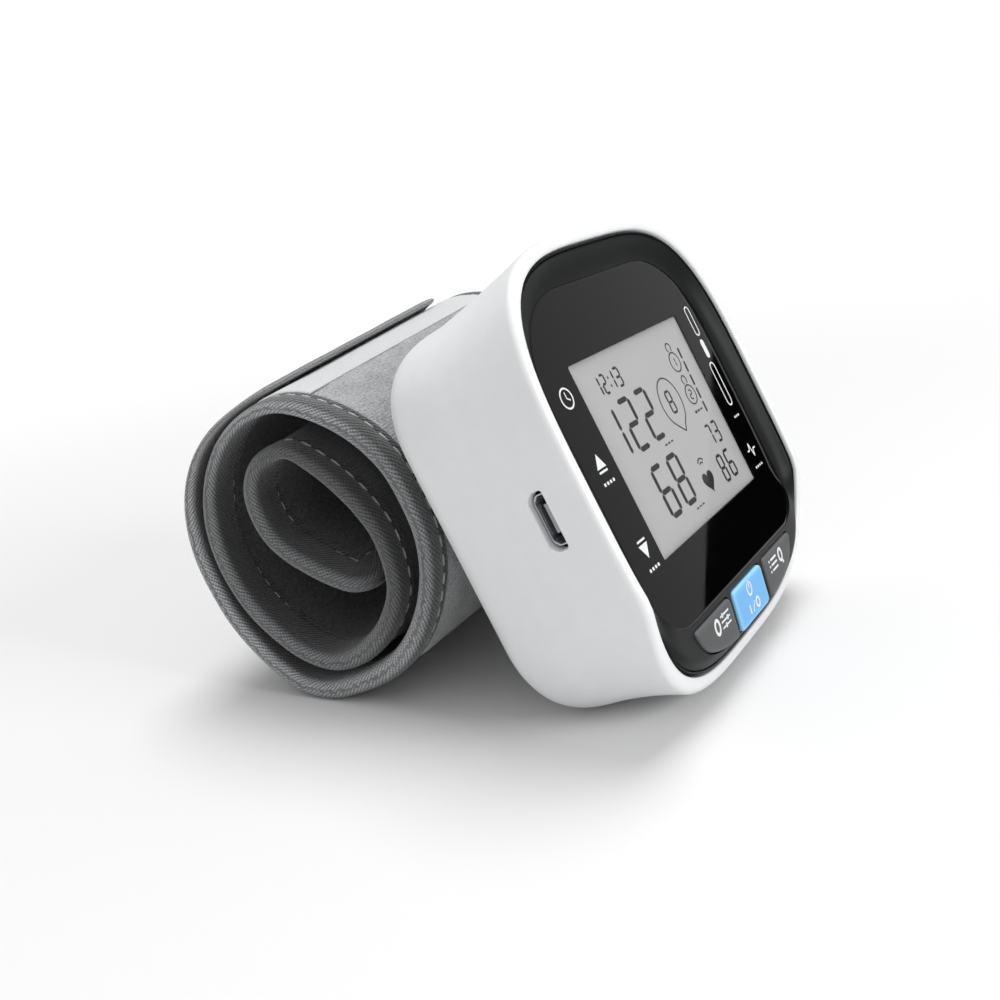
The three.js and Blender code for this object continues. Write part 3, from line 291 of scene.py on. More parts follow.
# %% [markdown]
# ## Sweeping outlines
# Almost every part here is one outline carried through several places: a case wall from its back to its
# rim, a key from its skirt to its crown, a cloth edge round its seam. The first outline is a closed wire
# of points. An edge extrusion makes the next ring, and its points, which keep their number in a vertex
# layer, move to their new places. It is the same thing as pressing E and scaling in the editor.


# %% Sweep helpers
WELD = 0.0005


def start_sweep():
    """An empty bmesh with the layers that the sweeps fill."""
    bm = bmesh.new()
    bm.verts.layers.int.new("order")
    bm.verts.layers.float_vector.new("weave")
    bm.verts.layers.float.new("edge")
    return bm


def mark(bm, verts, weave, edge):
    """Writes the cloth coordinates and the edge layer of a ring, its painted light and shade, one number or
    a list of them.
    """
    order = bm.verts.layers.int["order"]
    weave_layer = bm.verts.layers.float_vector["weave"]
    edge_layer = bm.verts.layers.float["edge"]
    for vert in verts:
        vert[edge_layer] = edge[vert[order]] if isinstance(edge, list) else edge
        if weave is not None:
            vert[weave_layer] = weave[vert[order]]


def first_ring(bm, points, closed=True, weave=None, edge=0.0):
    """A wire through the points, each numbered so that the next ring can find its place."""
    order = bm.verts.layers.int["order"]
    verts = [bm.verts.new(point) for point in points]
    for number, vert in enumerate(verts):
        vert[order] = number
    mark(bm, verts, weave, edge)
    pairs = list(zip(verts, verts[1:]))
    if closed:
        pairs.append((verts[-1], verts[0]))
    return [bm.edges.new(pair) for pair in pairs]


def carry(bm, ring, points, weave=None, edge=0.0):
    """Extrudes a ring of edges and moves the new one to the points."""
    order = bm.verts.layers.int["order"]
    made = bmesh.ops.extrude_edge_only(bm, edges=ring)["geom"]
    verts = [item for item in made if isinstance(item, bmesh.types.BMVert)]
    for vert in verts:
        vert.co = points[vert[order]]
    mark(bm, verts, weave, edge)
    return [item for item in made if isinstance(item, bmesh.types.BMEdge)]


def swept(rings, closed=True, weaves=None, edges=None, merge=0.0):
    """A body carried from ring to ring, merged where rings meet, with a face over every open end."""
    bm = start_sweep()
    weaves = weaves or [None] * len(rings)
    edges = edges or [0.0] * len(rings)
    ring = first_ring(bm, rings[0], closed, weaves[0], edges[0])
    for points, weave, edge in zip(rings[1:], weaves[1:], edges[1:]):
        ring = carry(bm, ring, points, weave, edge)
    if merge:
        bmesh.ops.remove_doubles(bm, verts=bm.verts[:], dist=merge)
    open_edges = [edge for edge in bm.edges if edge.is_boundary]
    if open_edges:
        bmesh.ops.holes_fill(bm, edges=open_edges, sides=0)
    return bm


def ring_body(rings):
    """A closed body of rings that end where they began."""
    return swept(rings + rings[:1], merge=WELD)


def settle(name, bm, place):
    """A mesh of a finished bmesh, its faces pointing out and its points where the part has them."""
    bmesh.ops.recalc_face_normals(bm, faces=bm.faces[:])
    bmesh.ops.transform(bm, matrix=place, verts=bm.verts[:])
    mesh = bpy.data.meshes.new(name)
    bm.to_mesh(mesh)
    bm.free()
    return mesh


def smooth(mesh, sharp=35):
    """Smooth shading, apart from edges that turn by more degrees than sharp."""
    mesh.shade_smooth()
    mesh.set_sharp_from_angle(angle=math.radians(sharp))


def cut_away(piece, tool_bm, place):
    """Cuts a tool out of a piece and leaves no modifier on it."""
    tool_mesh = settle("tool", tool_bm, place)
    tool = add_object("tool", tool_mesh)
    cut = piece.modifiers.new("cut", "BOOLEAN")
    cut.operation = "DIFFERENCE"
    cut.solver = "EXACT"
    cut.object = tool
    bpy.context.view_layer.update()
    seen_piece = piece.evaluated_get(bpy.context.evaluated_depsgraph_get())
    result = bpy.data.meshes.new_from_object(seen_piece)
    piece.modifiers.remove(cut)
    old = piece.data
    piece.data = result
    result.name = piece.name
    bpy.data.meshes.remove(old)
    bpy.data.objects.remove(tool)
    bpy.data.meshes.remove(tool_mesh)
    smooth(result)


def put(name, bm, finish, body=None, slot=None, replaces=(), place=DISPLAY_PLACE, sharp=35, cuts=()):
    """Makes an object of a finished bmesh, at the origin, cuts it and hands it to the frame."""
    bmesh.ops.remove_doubles(bm, verts=bm.verts[:], dist=WELD)
    mesh = settle(name, bm, place)
    smooth(mesh, sharp)
    mesh.materials.append(finish)
    piece = add_object(name, mesh)
    for tool, tool_place in cuts:
        cut_away(piece, tool, tool_place)
    if body:
        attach(piece, body)
    if replaces:
        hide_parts(*replaces)
    print(name, len(piece.data.polygons), "faces")
    return piece


# %% [markdown]
# ## Outlines of the case and the lens
# The case is a rounded square whose sides bow all the way round, the lens a taller one with small lower
# corners. A superellipse draws such a corner with one number for how full it is. Every outline has the
# same count of points, so any two of them can be joined, and the sides get some points too.

# %% Outlines
CORNER_STEPS = 26
SIDE_STEPS = 4
LEAST_CORNER = 0.3
CASE_HALF = 36.6
BACK_HALF = CASE_HALF + 0.2
SIDE_CORNER = (36.0, 36.85)


def rounded_square(half, top, bottom, top_corner, bottom_corner, top_power, bottom_power):
    """A shape: half its width, its top and bottom, and the width, height and fullness of its corners."""
    return (half, top, bottom, *top_corner, *bottom_corner, top_power, bottom_power)


FRONT = rounded_square(CASE_HALF, 25.6, -49.3, SIDE_CORNER, SIDE_CORNER, 3.55, 3.5)
BACK = rounded_square(BACK_HALF, 21.1, -44.9, (16.3, 16.3), (16.2, 16.2), 2.2, 2.1)
LENS = rounded_square(CASE_HALF - 6.4, 18.2, LENS_BOTTOM, (17, 17), (8, 8), 2.2, 2.0)
WINDOW = rounded_square(20.8, 6.4, -26.6, (0.5, 0.5), (0.5, 0.5), 2.0, 2.0)


def between(low, high, share):
    """The value at a share of the way from low to high."""
    return low + (high - low) * share


def smooth_share(value, low, high):
    """A share from 0 to 1 that starts and ends softly."""
    share = min(max((value - low) / (high - low), 0.0), 1.0)
    return share * share * (3 - 2 * share)


def mixed(one, other, share):
    """An outline between two outlines."""
    return tuple(between(a, b, share) for a, b in zip(one, other))


def corner(centre_x, centre_y, wide, tall, power, turn):
    """A point on a superellipse corner; turn goes round from 0 to 360 degrees."""
    across = math.cos(turn)
    up = math.sin(turn)
    x = math.copysign(abs(across) ** (2 / power), across)
    y = math.copysign(abs(up) ** (2 / power), up)
    return (centre_x + wide * x, centre_y + tall * y)


def outline(shape, inset):
    """Points round a shape, inset by some millimetres, anticlockwise from its right side."""
    half, top, bottom, top_wide, top_tall, bottom_wide, bottom_tall, top_power, bottom_power = shape
    half, top, bottom = half - inset, top - inset, bottom + inset
    sizes = (top_wide, top_tall, bottom_wide, bottom_tall)
    top_wide, top_tall, bottom_wide, bottom_tall = [max(size - inset, LEAST_CORNER) for size in sizes]
    corners = (
        (half - top_wide, top - top_tall, top_wide, top_tall, top_power),
        (-half + top_wide, top - top_tall, top_wide, top_tall, top_power),
        (-half + bottom_wide, bottom + bottom_tall, bottom_wide, bottom_tall, bottom_power),
        (half - bottom_wide, bottom + bottom_tall, bottom_wide, bottom_tall, bottom_power),
    )
    points = []
    for quarter, facts in enumerate(corners):
        arc = []
        for step in range(CORNER_STEPS + 1):
            turn = (quarter + step / CORNER_STEPS) * math.pi / 2
            arc.append(corner(*facts, turn))
        if points:
            points += side_points(points[-1], arc[0])
        points += arc
    return points + side_points(points[-1], points[0])


def side_points(start, end):
    """Points along a straight side, without its ends."""
    shares = [step / SIDE_STEPS for step in range(1, SIDE_STEPS)]
    return [(between(start[0], end[0], s), between(start[1], end[1], s)) for s in shares]


def lifted(points, height):
    """Flat points with a height, a number or a function of y."""
    if callable(height):
        return [Vector((x, y, height(y))) for x, y in points]
    return [Vector((x, y, height)) for x, y in points]


def level_rings(rows):
    """Level rings, one for each row: a shape, its inset and its height."""
    return [lifted(outline(shape, inset), height) for shape, inset, height in rows]


print(len(outline(FRONT, 0)), "points to an outline")

# %% [markdown]
# ## White case
# The case is injection-moulded ABS: a shallow tub whose back edge is a large soft fillet and whose front
# ends in a narrow bright rim. Below the lens the whole front bends back. The wall is carried from the
# opening at the back, round the fillet, up the side, over the rim and down inside again, and joined to
# its start, so the shell has its real 2 mm of thickness.

# %% Case profile
REAR_Z = -28.4
BACK_FILLET = 12.1
BACK_FILLET_POWER = 3.35
BACK_FILLET_STEPS = 22
COVER_INSET = 11.5
WALL = 2.0
RIM_Z = 1.4
RIM_WIDTH = 2.1
RIM_ROUND = 1.1
RIM_DEPTH = 3.6
# Inset and drop along the rim's section, as shares of its width and its rounding
RIM_PROFILE = (
    (0.0, 1.0), (0.01, 0.74), (0.04, 0.52), (0.09, 0.31), (0.16, 0.14), (0.25, 0.04), (0.36, 0.0),
    (0.55, 0.0), (0.76, 0.01), (0.86, 0.05), (0.94, 0.15), (0.985, 0.3), (1.0, 0.5),
)
BEND_Y = -27.7
BEND_RADIUS = 8.0
BEND_ANGLE = 0.358
SIDE_SHARES = (0.14, 0.28, 0.42, 0.56, 0.7, 0.82, 0.92)


def rim_height(y):
    """Height of the rim's crest: level, then bent back towards the bottom."""
    down = max(BEND_Y - y, 0.0)
    arc = BEND_RADIUS * math.sin(BEND_ANGLE)
    if down < arc:
        return RIM_Z - BEND_RADIUS * (1 - math.sqrt(1 - (down / BEND_RADIUS) ** 2))
    drop = BEND_RADIUS * (1 - math.cos(BEND_ANGLE))
    return RIM_Z - drop - (down - arc) * math.tan(BEND_ANGLE)


def fillet_point(radius, share):
    """Inset and drop of a point on the soft back fillet, from its foot at 0 to its top at 1."""
    turn = (1 - share) * math.pi / 2
    inset = radius * (1 - math.cos(turn) ** (2 / BACK_FILLET_POWER))
    drop = radius * math.sin(turn) ** (2 / BACK_FILLET_POWER)
    return inset, drop


def shell_rings():
    """Rings round the case wall, outside from back to front and then inside from front to back."""
    bend_z = REAR_Z + BACK_FILLET
    rings = [lifted(outline(BACK, COVER_INSET), REAR_Z)]
    for step in range(BACK_FILLET_STEPS + 1):
        inset, drop = fillet_point(BACK_FILLET, step / BACK_FILLET_STEPS)
        if inset < COVER_INSET - WALL / 2:
            rings.append(lifted(outline(BACK, inset), bend_z - drop))
    for share in SIDE_SHARES:
        waist = mixed(BACK, FRONT, share)
        height = lambda y, s=share: between(bend_z, rim_height(y) - RIM_ROUND, s)
        rings.append(lifted(outline(waist, 0), height))
    for inset, drop in RIM_PROFILE:
        height = lambda y, d=drop: rim_height(y) - RIM_ROUND * d
        rings.append(lifted(outline(FRONT, RIM_WIDTH * inset), height))
    rings.append(lifted(outline(FRONT, RIM_WIDTH), lambda y: rim_height(y) - RIM_DEPTH))
    middle = mixed(BACK, FRONT, 0.5)
    rings.append(lifted(outline(middle, WALL), lambda y: between(bend_z, rim_height(y), 0.5)))
    for step in range(BACK_FILLET_STEPS, -1, -3):
        inset, drop = fillet_point(BACK_FILLET - WALL, step / BACK_FILLET_STEPS)
        if inset + WALL < COVER_INSET - WALL / 2:
            rings.append(lifted(outline(BACK, inset + WALL), bend_z - drop))
    rings.append(lifted(outline(BACK, COVER_INSET), REAR_Z + WALL))
    return rings


print(len(shell_rings()), "rings to the case wall")

# %% White ABS
shell_finish, shell_tree, shell_surface = new_finish("gloss_white_abs", "#eaebec", 0.3, IOR=1.5)
vary(shell_surface, grain(shell_tree, 0.35), {0: "#e7e8e9", 1: "#edeeef"})
vary(shell_surface, grain(shell_tree, 5.0, 3.0), gloss=(0.26, 0.36), bump=0.000012)
print("white ABS ready")

# %% Charging mouth
SOCKET_Y = -12.1
SOCKET_Z = -6.6
SOCKET_LONG = 8.2
SOCKET_TALL = 2.4
SOCKET_DEEP = 6.0
SOCKET_WALL = 0.3
SOCKET_BEVEL = 0.8
MOUTH_LONG = 9.2
MOUTH_TALL = 3.0
MOUTH_BEVEL = 1.15
MOUTH_SOFT = 0.6
MOUTH_STEPS = ((-1.2, 2.9), (0.0, 0.56), (0.14, 0.28), (0.3, 0.08), (0.5, 0.0), (6.0, 0.0))
ROUND_STEPS = 5


def rounded_polygon(corners):
    """A polygon whose corners (x, y, radius) are softened by a curve."""
    points = []
    for n, (x, y, radius) in enumerate(corners):
        here = Vector((x, y))
        before = Vector(corners[n - 1][:2]) - here
        after = Vector(corners[(n + 1) % len(corners)][:2]) - here
        start = here + before.normalized() * radius
        end = here + after.normalized() * radius
        for step in range(ROUND_STEPS + 1):
            t = step / ROUND_STEPS
            points.append(start * (1 - t) ** 2 + here * 2 * t * (1 - t) + end * t**2)
    return points


def socket_ring(long, tall, bevel, soft, x):
    """The plug's outline, flat above and with two cut corners below, at a depth x in the case's side."""
    y = long / 2
    z = tall / 2
    corners = [(-y, z), (-y, -z + bevel), (-y + bevel, -z), (y - bevel, -z), (y, -z + bevel), (y, z)]
    section = rounded_polygon([(*corner_point, soft) for corner_point in corners])
    return [Vector((x, SOCKET_Y + p.x, SOCKET_Z + p.y)) for p in section]


mouth_rings = [
    socket_ring(MOUTH_LONG + grow, MOUTH_TALL + grow, MOUTH_BEVEL + grow / 3, MOUTH_SOFT, depth - BACK_HALF)
    for depth, grow in MOUTH_STEPS
]
print(len(mouth_rings), "rings to the charging mouth")

# %% Case
mouth = [(swept(mouth_rings), DISPLAY_PLACE)]
put("case_moulding", ring_body(shell_rings()), shell_finish, "monitor", "shell", ["case_shell"], cuts=mouth)

# %% [markdown]
# ## Charging socket
# A small connector shell is folded from tinned steel, with a plastic tongue inside that carries five gold
# springs. It is swept like the mouth, outside first and then inside, so that the sheet has its own lip.

# %% Socket shell and contacts
LIP = 0.12
SOCKET_FROM = -BACK_HALF + WALL / 2 + 0.1
SOCKET_TO = SOCKET_FROM + SOCKET_DEEP
# How far each ring lies inside the shell's outline, its rounding and its depth
SOCKET_STEPS = (
    (0, 0.4, SOCKET_TO),
    (0, 0.4, SOCKET_FROM + LIP),
    (LIP, 0.4, SOCKET_FROM),
    (2 * SOCKET_WALL - LIP, 0.3, SOCKET_FROM),
    (2 * SOCKET_WALL, 0.3, SOCKET_FROM + LIP),
    (2 * SOCKET_WALL, 0.3, SOCKET_TO - SOCKET_WALL),
)

socket_finish, socket_tree, socket_surface = new_finish("tinned_steel", "#b9bcc0", 0.28, Metallic=1.0)
vary(socket_surface, grain(socket_tree, 2.5, 4.0), gloss=(0.2, 0.42))
socket_rings = [
    socket_ring(SOCKET_LONG - shrink, SOCKET_TALL - shrink, SOCKET_BEVEL, soft, x)
    for shrink, soft, x in SOCKET_STEPS
]
put("socket_shell", swept(socket_rings), socket_finish, "monitor", "steel", ["usb_socket"])

gold_finish, gold_tree, gold_surface = new_finish("gold_plated_bronze", "#d8b35c", 0.25, Metallic=1.0)
vary(gold_surface, grain(gold_tree, 6.0), gloss=(0.18, 0.36))
SPRING_SIZE = Matrix.Diagonal((3.6, 0.36, 0.1, 1))
SPRING_PITCH = 0.85
SPRING_IN = 3.3
SPRING_UP = 0.34
springs = bmesh.new()
for n in range(5):
    y = SOCKET_Y + (n - 2) * SPRING_PITCH
    at = Matrix.Translation((SOCKET_FROM + SPRING_IN, y, SOCKET_Z + SPRING_UP))
    bmesh.ops.create_cube(springs, size=1, matrix=at @ SPRING_SIZE)
soft_edge = {"offset": 0.03, "segments": 2, "profile": 0.5, "affect": "EDGES", "material": -1}
bmesh.ops.bevel(springs, geom=springs.edges[:], **soft_edge)
put("socket_springs", springs, gold_finish, "monitor", "brass")

# %% [markdown]
# ## Front panel
# Between rim and lens lies a black frame, dished at the sides and bulging below the lens into a strip for
# the three keys. The rings run from the rim inwards; each point moves from the rim's outline towards the
# lens's, and its height mixes the dish with the bulge.

# %% Front panel
GAP = 0.3
LENS_THICK = 1.2
LEDGE = 2.4
PANEL_THICK = 1.6
# Where the rings lie from rim to lens, and how far some of them drop: a soft edge and the groove beside it
PANEL_SHARES = (
    0, 0.02, 0.045, 0.055, 0.085, 0.1, 0.12, 0.18, 0.25, 0.33, 0.42, 0.52, 0.64, 0.77, 0.89, 0.97, 1,
)
PANEL_DROPS = {0: 0.12, 0.045: 0.05, 0.055: 0.4, 0.085: 0.4, 0.1: 0.04}
PANEL_UNDER_SHARES = (0.9, 0.32, 0.12, 0)
PANEL_EDGE_DROP = 0.6
PANEL_SKIRT = 0.5
STRIP_EDGE_DROP = 0.7
STRIP_RISE_SHARE = 0.263
STRIP_POWER = 0.5
DISH_POWER = 1.6
STRIP_FROM = 27.0
STRIP_TO = 43.0


def panel_height(rim_y, y, share):
    """Height of the panel at a share of the way from the rim to the lens."""
    dish = 1 - (1 - share) ** DISH_POWER
    side = between(rim_height(rim_y) - PANEL_EDGE_DROP, LENS_Z, dish)
    flat = LENS_Z - (LENS_BOTTOM - y) * math.tan(STRIP_ANGLE)
    rise = min(share / STRIP_RISE_SHARE, 1) ** STRIP_POWER
    bulge = between(rim_height(rim_y) - STRIP_EDGE_DROP, flat, rise)
    return between(side, bulge, smooth_share(-rim_y, STRIP_FROM, STRIP_TO))


def panel_ring(share, drop):
    """One ring of the panel."""
    points = []
    for rim, lens in zip(outline(FRONT, RIM_WIDTH + GAP), outline(LENS, 0)):
        x = between(rim[0], lens[0], share)
        y = between(rim[1], lens[1], share)
        points.append(Vector((x, y, panel_height(rim[1], y, share) - drop)))
    return points


SEAT_Z = LENS_Z - LENS_THICK - GAP
panel_rings = [panel_ring(0, PANEL_SKIRT)]
panel_rings += [panel_ring(share, PANEL_DROPS.get(share, 0)) for share in PANEL_SHARES]
panel_rings += [
    lifted(outline(LENS, 0), SEAT_Z),
    lifted(outline(LENS, LEDGE), SEAT_Z),
    lifted(outline(LENS, LEDGE), SEAT_Z - PANEL_THICK),
    lifted(outline(LENS, 0), SEAT_Z - PANEL_THICK),
]
panel_rings += [panel_ring(share, PANEL_THICK) for share in PANEL_UNDER_SHARES]

bezel_finish, bezel_tree, bezel_surface = new_finish(
    "satin_black_abs", "#131415", 0.36, IOR=1.45, Specular_IOR_Level=0.15
)
vary(bezel_surface, grain(bezel_tree, 4.0, 3.0), gloss=(0.3, 0.44), bump=0.00001)
print(len(panel_rings), "rings to the front panel")

# %% [markdown]
# ## Keys
# Three caps fill the strip: a blue one in the middle and two grey ones whose outer ends follow the case.
# Each is moulded in a soft plastic with a rounded edge and a slight crown. The same outline, grown by the
# clearance, cuts its hole in the panel.

# %% Key outlines
POWER_HALF = 6.75
SIDE_HALF = 7.35
BUTTON_PITCH = 15.55
BUTTON_LOW = 8.2
BUTTON_HIGH = 1.1
BUTTON_THICK = 2.2
BUTTON_PROUD = 0.45
BUTTON_ROUND = 1.2
# Curved foot of a side key: share across, share up, rounding, and the way it grows
SIDE_FOOT = ((0.45, 0.09, 3.0, 0.25, -0.97), (0.85, 0.39, 2.6, 0.75, -0.66))


def key_outline(name, grow):
    """The outline of a key on the strip, grown or shrunk by some millimetres."""
    low = -BUTTON_LOW - grow
    high = -BUTTON_HIGH + grow
    soft = max(BUTTON_ROUND + grow, 0.2)
    if name == "power":
        half = POWER_HALF + grow
        corners = [(-half, low, soft), (half, low, soft), (half, high, soft), (-half, high, soft)]
        return rounded_polygon(corners)
    side = -1 if name == "set" else 1
    inner = side * (BUTTON_PITCH - SIDE_HALF - grow)
    outer = side * (BUTTON_PITCH + SIDE_HALF + grow)
    corners = [(inner, low, soft)]
    for across, up, radius, out_x, out_y in SIDE_FOOT:
        x = side * (BUTTON_PITCH + SIDE_HALF * (2 * across - 1) + grow * out_x)
        y = between(-BUTTON_LOW, -BUTTON_HIGH, up) + grow * out_y
        corners.append((x, y, radius + min(grow, 0) * 0.6))
    corners += [(outer, high, soft), (inner, high, soft)]
    return rounded_polygon(corners)


def key_ring(name, grow, height):
    """A key's outline at a height over the strip."""
    return [Vector((p.x, p.y, height)) for p in key_outline(name, grow)]


print(len(key_outline("power", 0)), "points round the middle key")

# %% Front frame with its key holes
KEYS = {"set": -BUTTON_PITCH, "power": 0.0, "memory": BUTTON_PITCH}
HOLE_ABOVE = 3.0
HOLE_BELOW = -6.0

holes = [(swept([key_ring(name, GAP, z) for z in (HOLE_ABOVE, HOLE_BELOW)]), STRIP_PLACE) for name in KEYS]
put("front_frame", ring_body(panel_rings), bezel_finish, "monitor", "bezel", ["front_panel"], cuts=holes)


# %% Key plastics
KEY_GLOSS = 0.06


def key_plastic(name, colour, painted_highlight_colour, roughness):
    """A moulded key: a fine grain, and a paler colour on its rounded edge, a painted highlight."""
    finish, tree, surface = new_finish(name, colour, roughness, IOR=1.46)
    vary(surface, read(tree, "edge"), {0: colour, 1: painted_highlight_colour})
    vary(surface, grain(tree, 4.5), gloss=(roughness - KEY_GLOSS, roughness + KEY_GLOSS), bump=0.00001)
    return finish


grey_key_finish = key_plastic("moulded_grey_silicone", "#474849", "#58595b", 0.5)
blue_key_finish = key_plastic("moulded_blue_silicone", "#69aee6", "#8fcdf6", 0.45)
print("key plastics ready")

# %% Key caps
# How far each ring of a key is grown, its height and how pale it is painted: a painted highlight on the
# rounded edge
KEY_PROFILE = (
    (0.0, -BUTTON_THICK + BUTTON_PROUD, 0.2),
    (0.0, -0.1, 0.6),
    (-0.05, 0.15, 1.0),
    (-0.17, 0.32, 1.0),
    (-0.35, 0.42, 0.8),
    (-0.6, BUTTON_PROUD, 0.3),
    (-1.2, BUTTON_PROUD + 0.03, 0.0),
    (-2.4, BUTTON_PROUD + 0.05, 0.0),
)
PAD_THICK = 0.8
BUTTON_STROKE = 0.5
STEM_RADIUS = 1.5
STEM_TOP = BUTTON_PROUD - BUTTON_THICK + 0.2
STEM_END = BUTTON_PROUD - BUTTON_THICK - GAP - PAD_THICK - GAP - BUTTON_STROKE


def key_cap(name):
    """A key with its stem."""
    rings = [key_ring(name, grow, height) for grow, height, _ in KEY_PROFILE]
    bm = swept(rings, edges=[edge for _, _, edge in KEY_PROFILE])
    middle = Matrix.Translation((KEYS[name], -(BUTTON_LOW + BUTTON_HIGH) / 2, (STEM_TOP + STEM_END) / 2))
    size = {"segments": 32, "radius1": STEM_RADIUS, "radius2": STEM_RADIUS, "depth": STEM_TOP - STEM_END}
    bmesh.ops.create_cone(bm, cap_ends=True, matrix=middle, **size)
    return bm


for name in KEYS:
    finish, slot = (blue_key_finish, "blue") if name == "power" else (grey_key_finish, "key")
    put(f"{name}_key_cap", key_cap(name), finish, f"{name}_key", slot, [f"{name}_button"], STRIP_PLACE)

# %% [markdown]
# ## Lens
# One acrylic sheet covers the front, printed black behind except for the window. Here the black part is
# one piece with a hole, and a thin clear pane fills the hole, so that the display shows through without
# the black print being transparent too. Its edge is polished to a small bevel that catches the light. A
# photographer's black card stands off to the right, where only mirrored rays meet it: the lower right
# half of the lens shows it, and the straight edge of that reflection tells the eye that the lens is flat.

# %% Black card beside the lens
CARD_REACH = 2.2
CARD_CORNERS = ((59.0, 20.5), (-26.0, -43.5), (60.0, -43.5))

mirror_eye = Vector((CAMERA_AT.x, CAMERA_AT.y, 2 * LENS_Z - CAMERA_AT.z))
card_bm = start_sweep()
card_points = [mirror_eye.lerp(Vector((x, y, LENS_Z)), CARD_REACH) for x, y in CARD_CORNERS]
bmesh.ops.contextual_create(card_bm, geom=first_ring(card_bm, card_points))
card_finish, card_tree, card_surface = new_finish("black_felt_card", "#030303", 1.0, Specular_IOR_Level=0.0)
vary(card_surface, add_node(card_tree, "TexNoise", {"Scale": 2000.0, "Detail": 2.0}), bump=0.0002)
card = put("black_card", card_bm, card_finish)
card.visible_camera = False
card.visible_diffuse = False
card.visible_transmission = False
card.visible_shadow = False

# %% Black lens
LENS_GAP = 0.04
BEVEL = 0.1
BEVEL_EASE = 0.3 * BEVEL
SUPPORT = 0.45
LENS_ROWS = (
    (LENS, LENS_GAP, LENS_Z - LENS_THICK),
    (LENS, LENS_GAP, LENS_Z - BEVEL),
    (LENS, LENS_GAP + BEVEL_EASE, LENS_Z - BEVEL_EASE),
    (LENS, LENS_GAP + BEVEL, LENS_Z),
    (LENS, LENS_GAP + SUPPORT, LENS_Z),
    (WINDOW, -SUPPORT, LENS_Z),
    (WINDOW, 0, LENS_Z),
    (WINDOW, -0.25, LENS_Z - LENS_THICK),
)

lens_finish, lens_tree, lens_surface = new_finish(
    "black_backed_acrylic", "#040405", 0.04, IOR=1.46, Specular_IOR_Level=0.28
)
# Smears from fingers: only the denser part of the texture shows
vary(lens_surface, grain(lens_tree, 0.12, 5.0, Roughness=0.7), gloss=(0.02, 0.07, 0.35, 0.75))
put("lens_sheet", ring_body(level_rings(LENS_ROWS)), lens_finish, "monitor", "lens", ["display_lens"])

# %% Clear pane
POLARISER_Z = LENS_Z - 0.3
PANE_INSET = 0.01
pane_finish = bpy.data.materials.new("clear_acrylic_pane")
pane_finish.use_nodes = True
pane_tree = pane_finish.node_tree
pane_tree.nodes.clear()
pane_back = add_node(pane_tree, "NewGeometry").outputs["Backfacing"]
pane_front = add_node(pane_tree, "Math", {0: 1.0, 1: pane_back}, operation="SUBTRACT")
pane_shine = add_node(pane_tree, "Fresnel", {"IOR": 1.25})
pane_share = add_node(pane_tree, "Math", {0: pane_shine, 1: pane_front}, operation="MULTIPLY")
pane_clear = add_node(pane_tree, "BsdfTransparent")
pane_gloss = add_node(pane_tree, "BsdfGlossy", {"Roughness": 0.03})
pane_mix = add_node(pane_tree, "MixShader", {0: pane_share, 1: pane_clear, 2: pane_gloss})
add_node(pane_tree, "OutputMaterial", {"Surface": pane_mix})
pane_rings = level_rings([(WINDOW, PANE_INSET, POLARISER_Z + 0.06), (WINDOW, PANE_INSET, LENS_Z)])
put("lens_window", swept(pane_rings), pane_finish, "monitor", "lens")

# %% [markdown]
# ## Display
# A liquid crystal display is two sheets of glass with a grey polariser on top. The digits are not
# printed: they are dark segments in the glass. They are built here as thin raised bars, each a stretched
# hexagon, so they stay crisp from any distance.

# %% Display glass
DISPLAY_HALF = 23.0
DISPLAY_HIGH = 8.65
DISPLAY_LOW = -28.85
DISPLAY_THICK = 2.2
GLASS_BEVEL = 0.15
GLASS = rounded_square(DISPLAY_HALF, DISPLAY_HIGH, DISPLAY_LOW, (0.5, 0.5), (0.5, 0.5), 2.0, 2.0)
GLASS_ROWS = (
    (GLASS, GLASS_BEVEL, SEAT_Z - DISPLAY_THICK),
    (GLASS, 0, SEAT_Z - DISPLAY_THICK + GLASS_BEVEL),
    (GLASS, 0, SEAT_Z - GLASS_BEVEL),
    (GLASS, GLASS_BEVEL, SEAT_Z),
    (WINDOW, 0.12, SEAT_Z),
    (WINDOW, 0.05, POLARISER_Z - 0.1),
    (WINDOW, 0.1, POLARISER_Z),
    (WINDOW, 1.2, POLARISER_Z),
    (WINDOW, 4.0, POLARISER_Z),
)
# The window's shadow: how dark each ring of the film is
GLASS_EDGES = (0, 0, 0, 0, 1, 1, 1, 0.25, 0)

glass_finish, glass_tree, glass_surface = new_finish("grey_polariser_film", "#bcbebe", 0.35, IOR=1.46)
vary(glass_surface, read(glass_tree, "edge"), {0: "#acacac", 1: "#979798"})
vary(glass_surface, grain(glass_tree, 8.0), bump=0.000004)
glass = swept(level_rings(GLASS_ROWS), edges=GLASS_EDGES)
put("display_panel", glass, glass_finish, "monitor", "display", ["display_glass"])

# %% Marks: bars, rings, ribbons and filled outlines
INK_THICK = 0.03


def bar(bm, start, end, width, tip=0.5):
    """A stretched hexagon from start to end, its tips as long as a share of its width."""
    start = Vector(start)
    end = Vector(end)
    long = (end - start).length
    middle = (start + end) / 2
    turn = math.atan2(end.y - start.y, end.x - start.x)
    quarter = Matrix.Rotation(math.pi / 2, 4, "Z")
    made = bmesh.ops.create_circle(bm, cap_ends=True, segments=6, radius=1, matrix=quarter)["verts"]
    for vert in made:
        pointed = abs(vert.co.y) < 0.1
        reach = long / 2 if pointed else long / 2 - width * tip
        up = 0 if pointed else math.copysign(width / 2, vert.co.y)
        vert.co = Vector((math.copysign(reach, vert.co.x), up, 0))
    place = Matrix.Translation((middle.x, middle.y, 0)) @ Matrix.Rotation(turn, 4, "Z")
    bmesh.ops.transform(bm, matrix=place, verts=made)


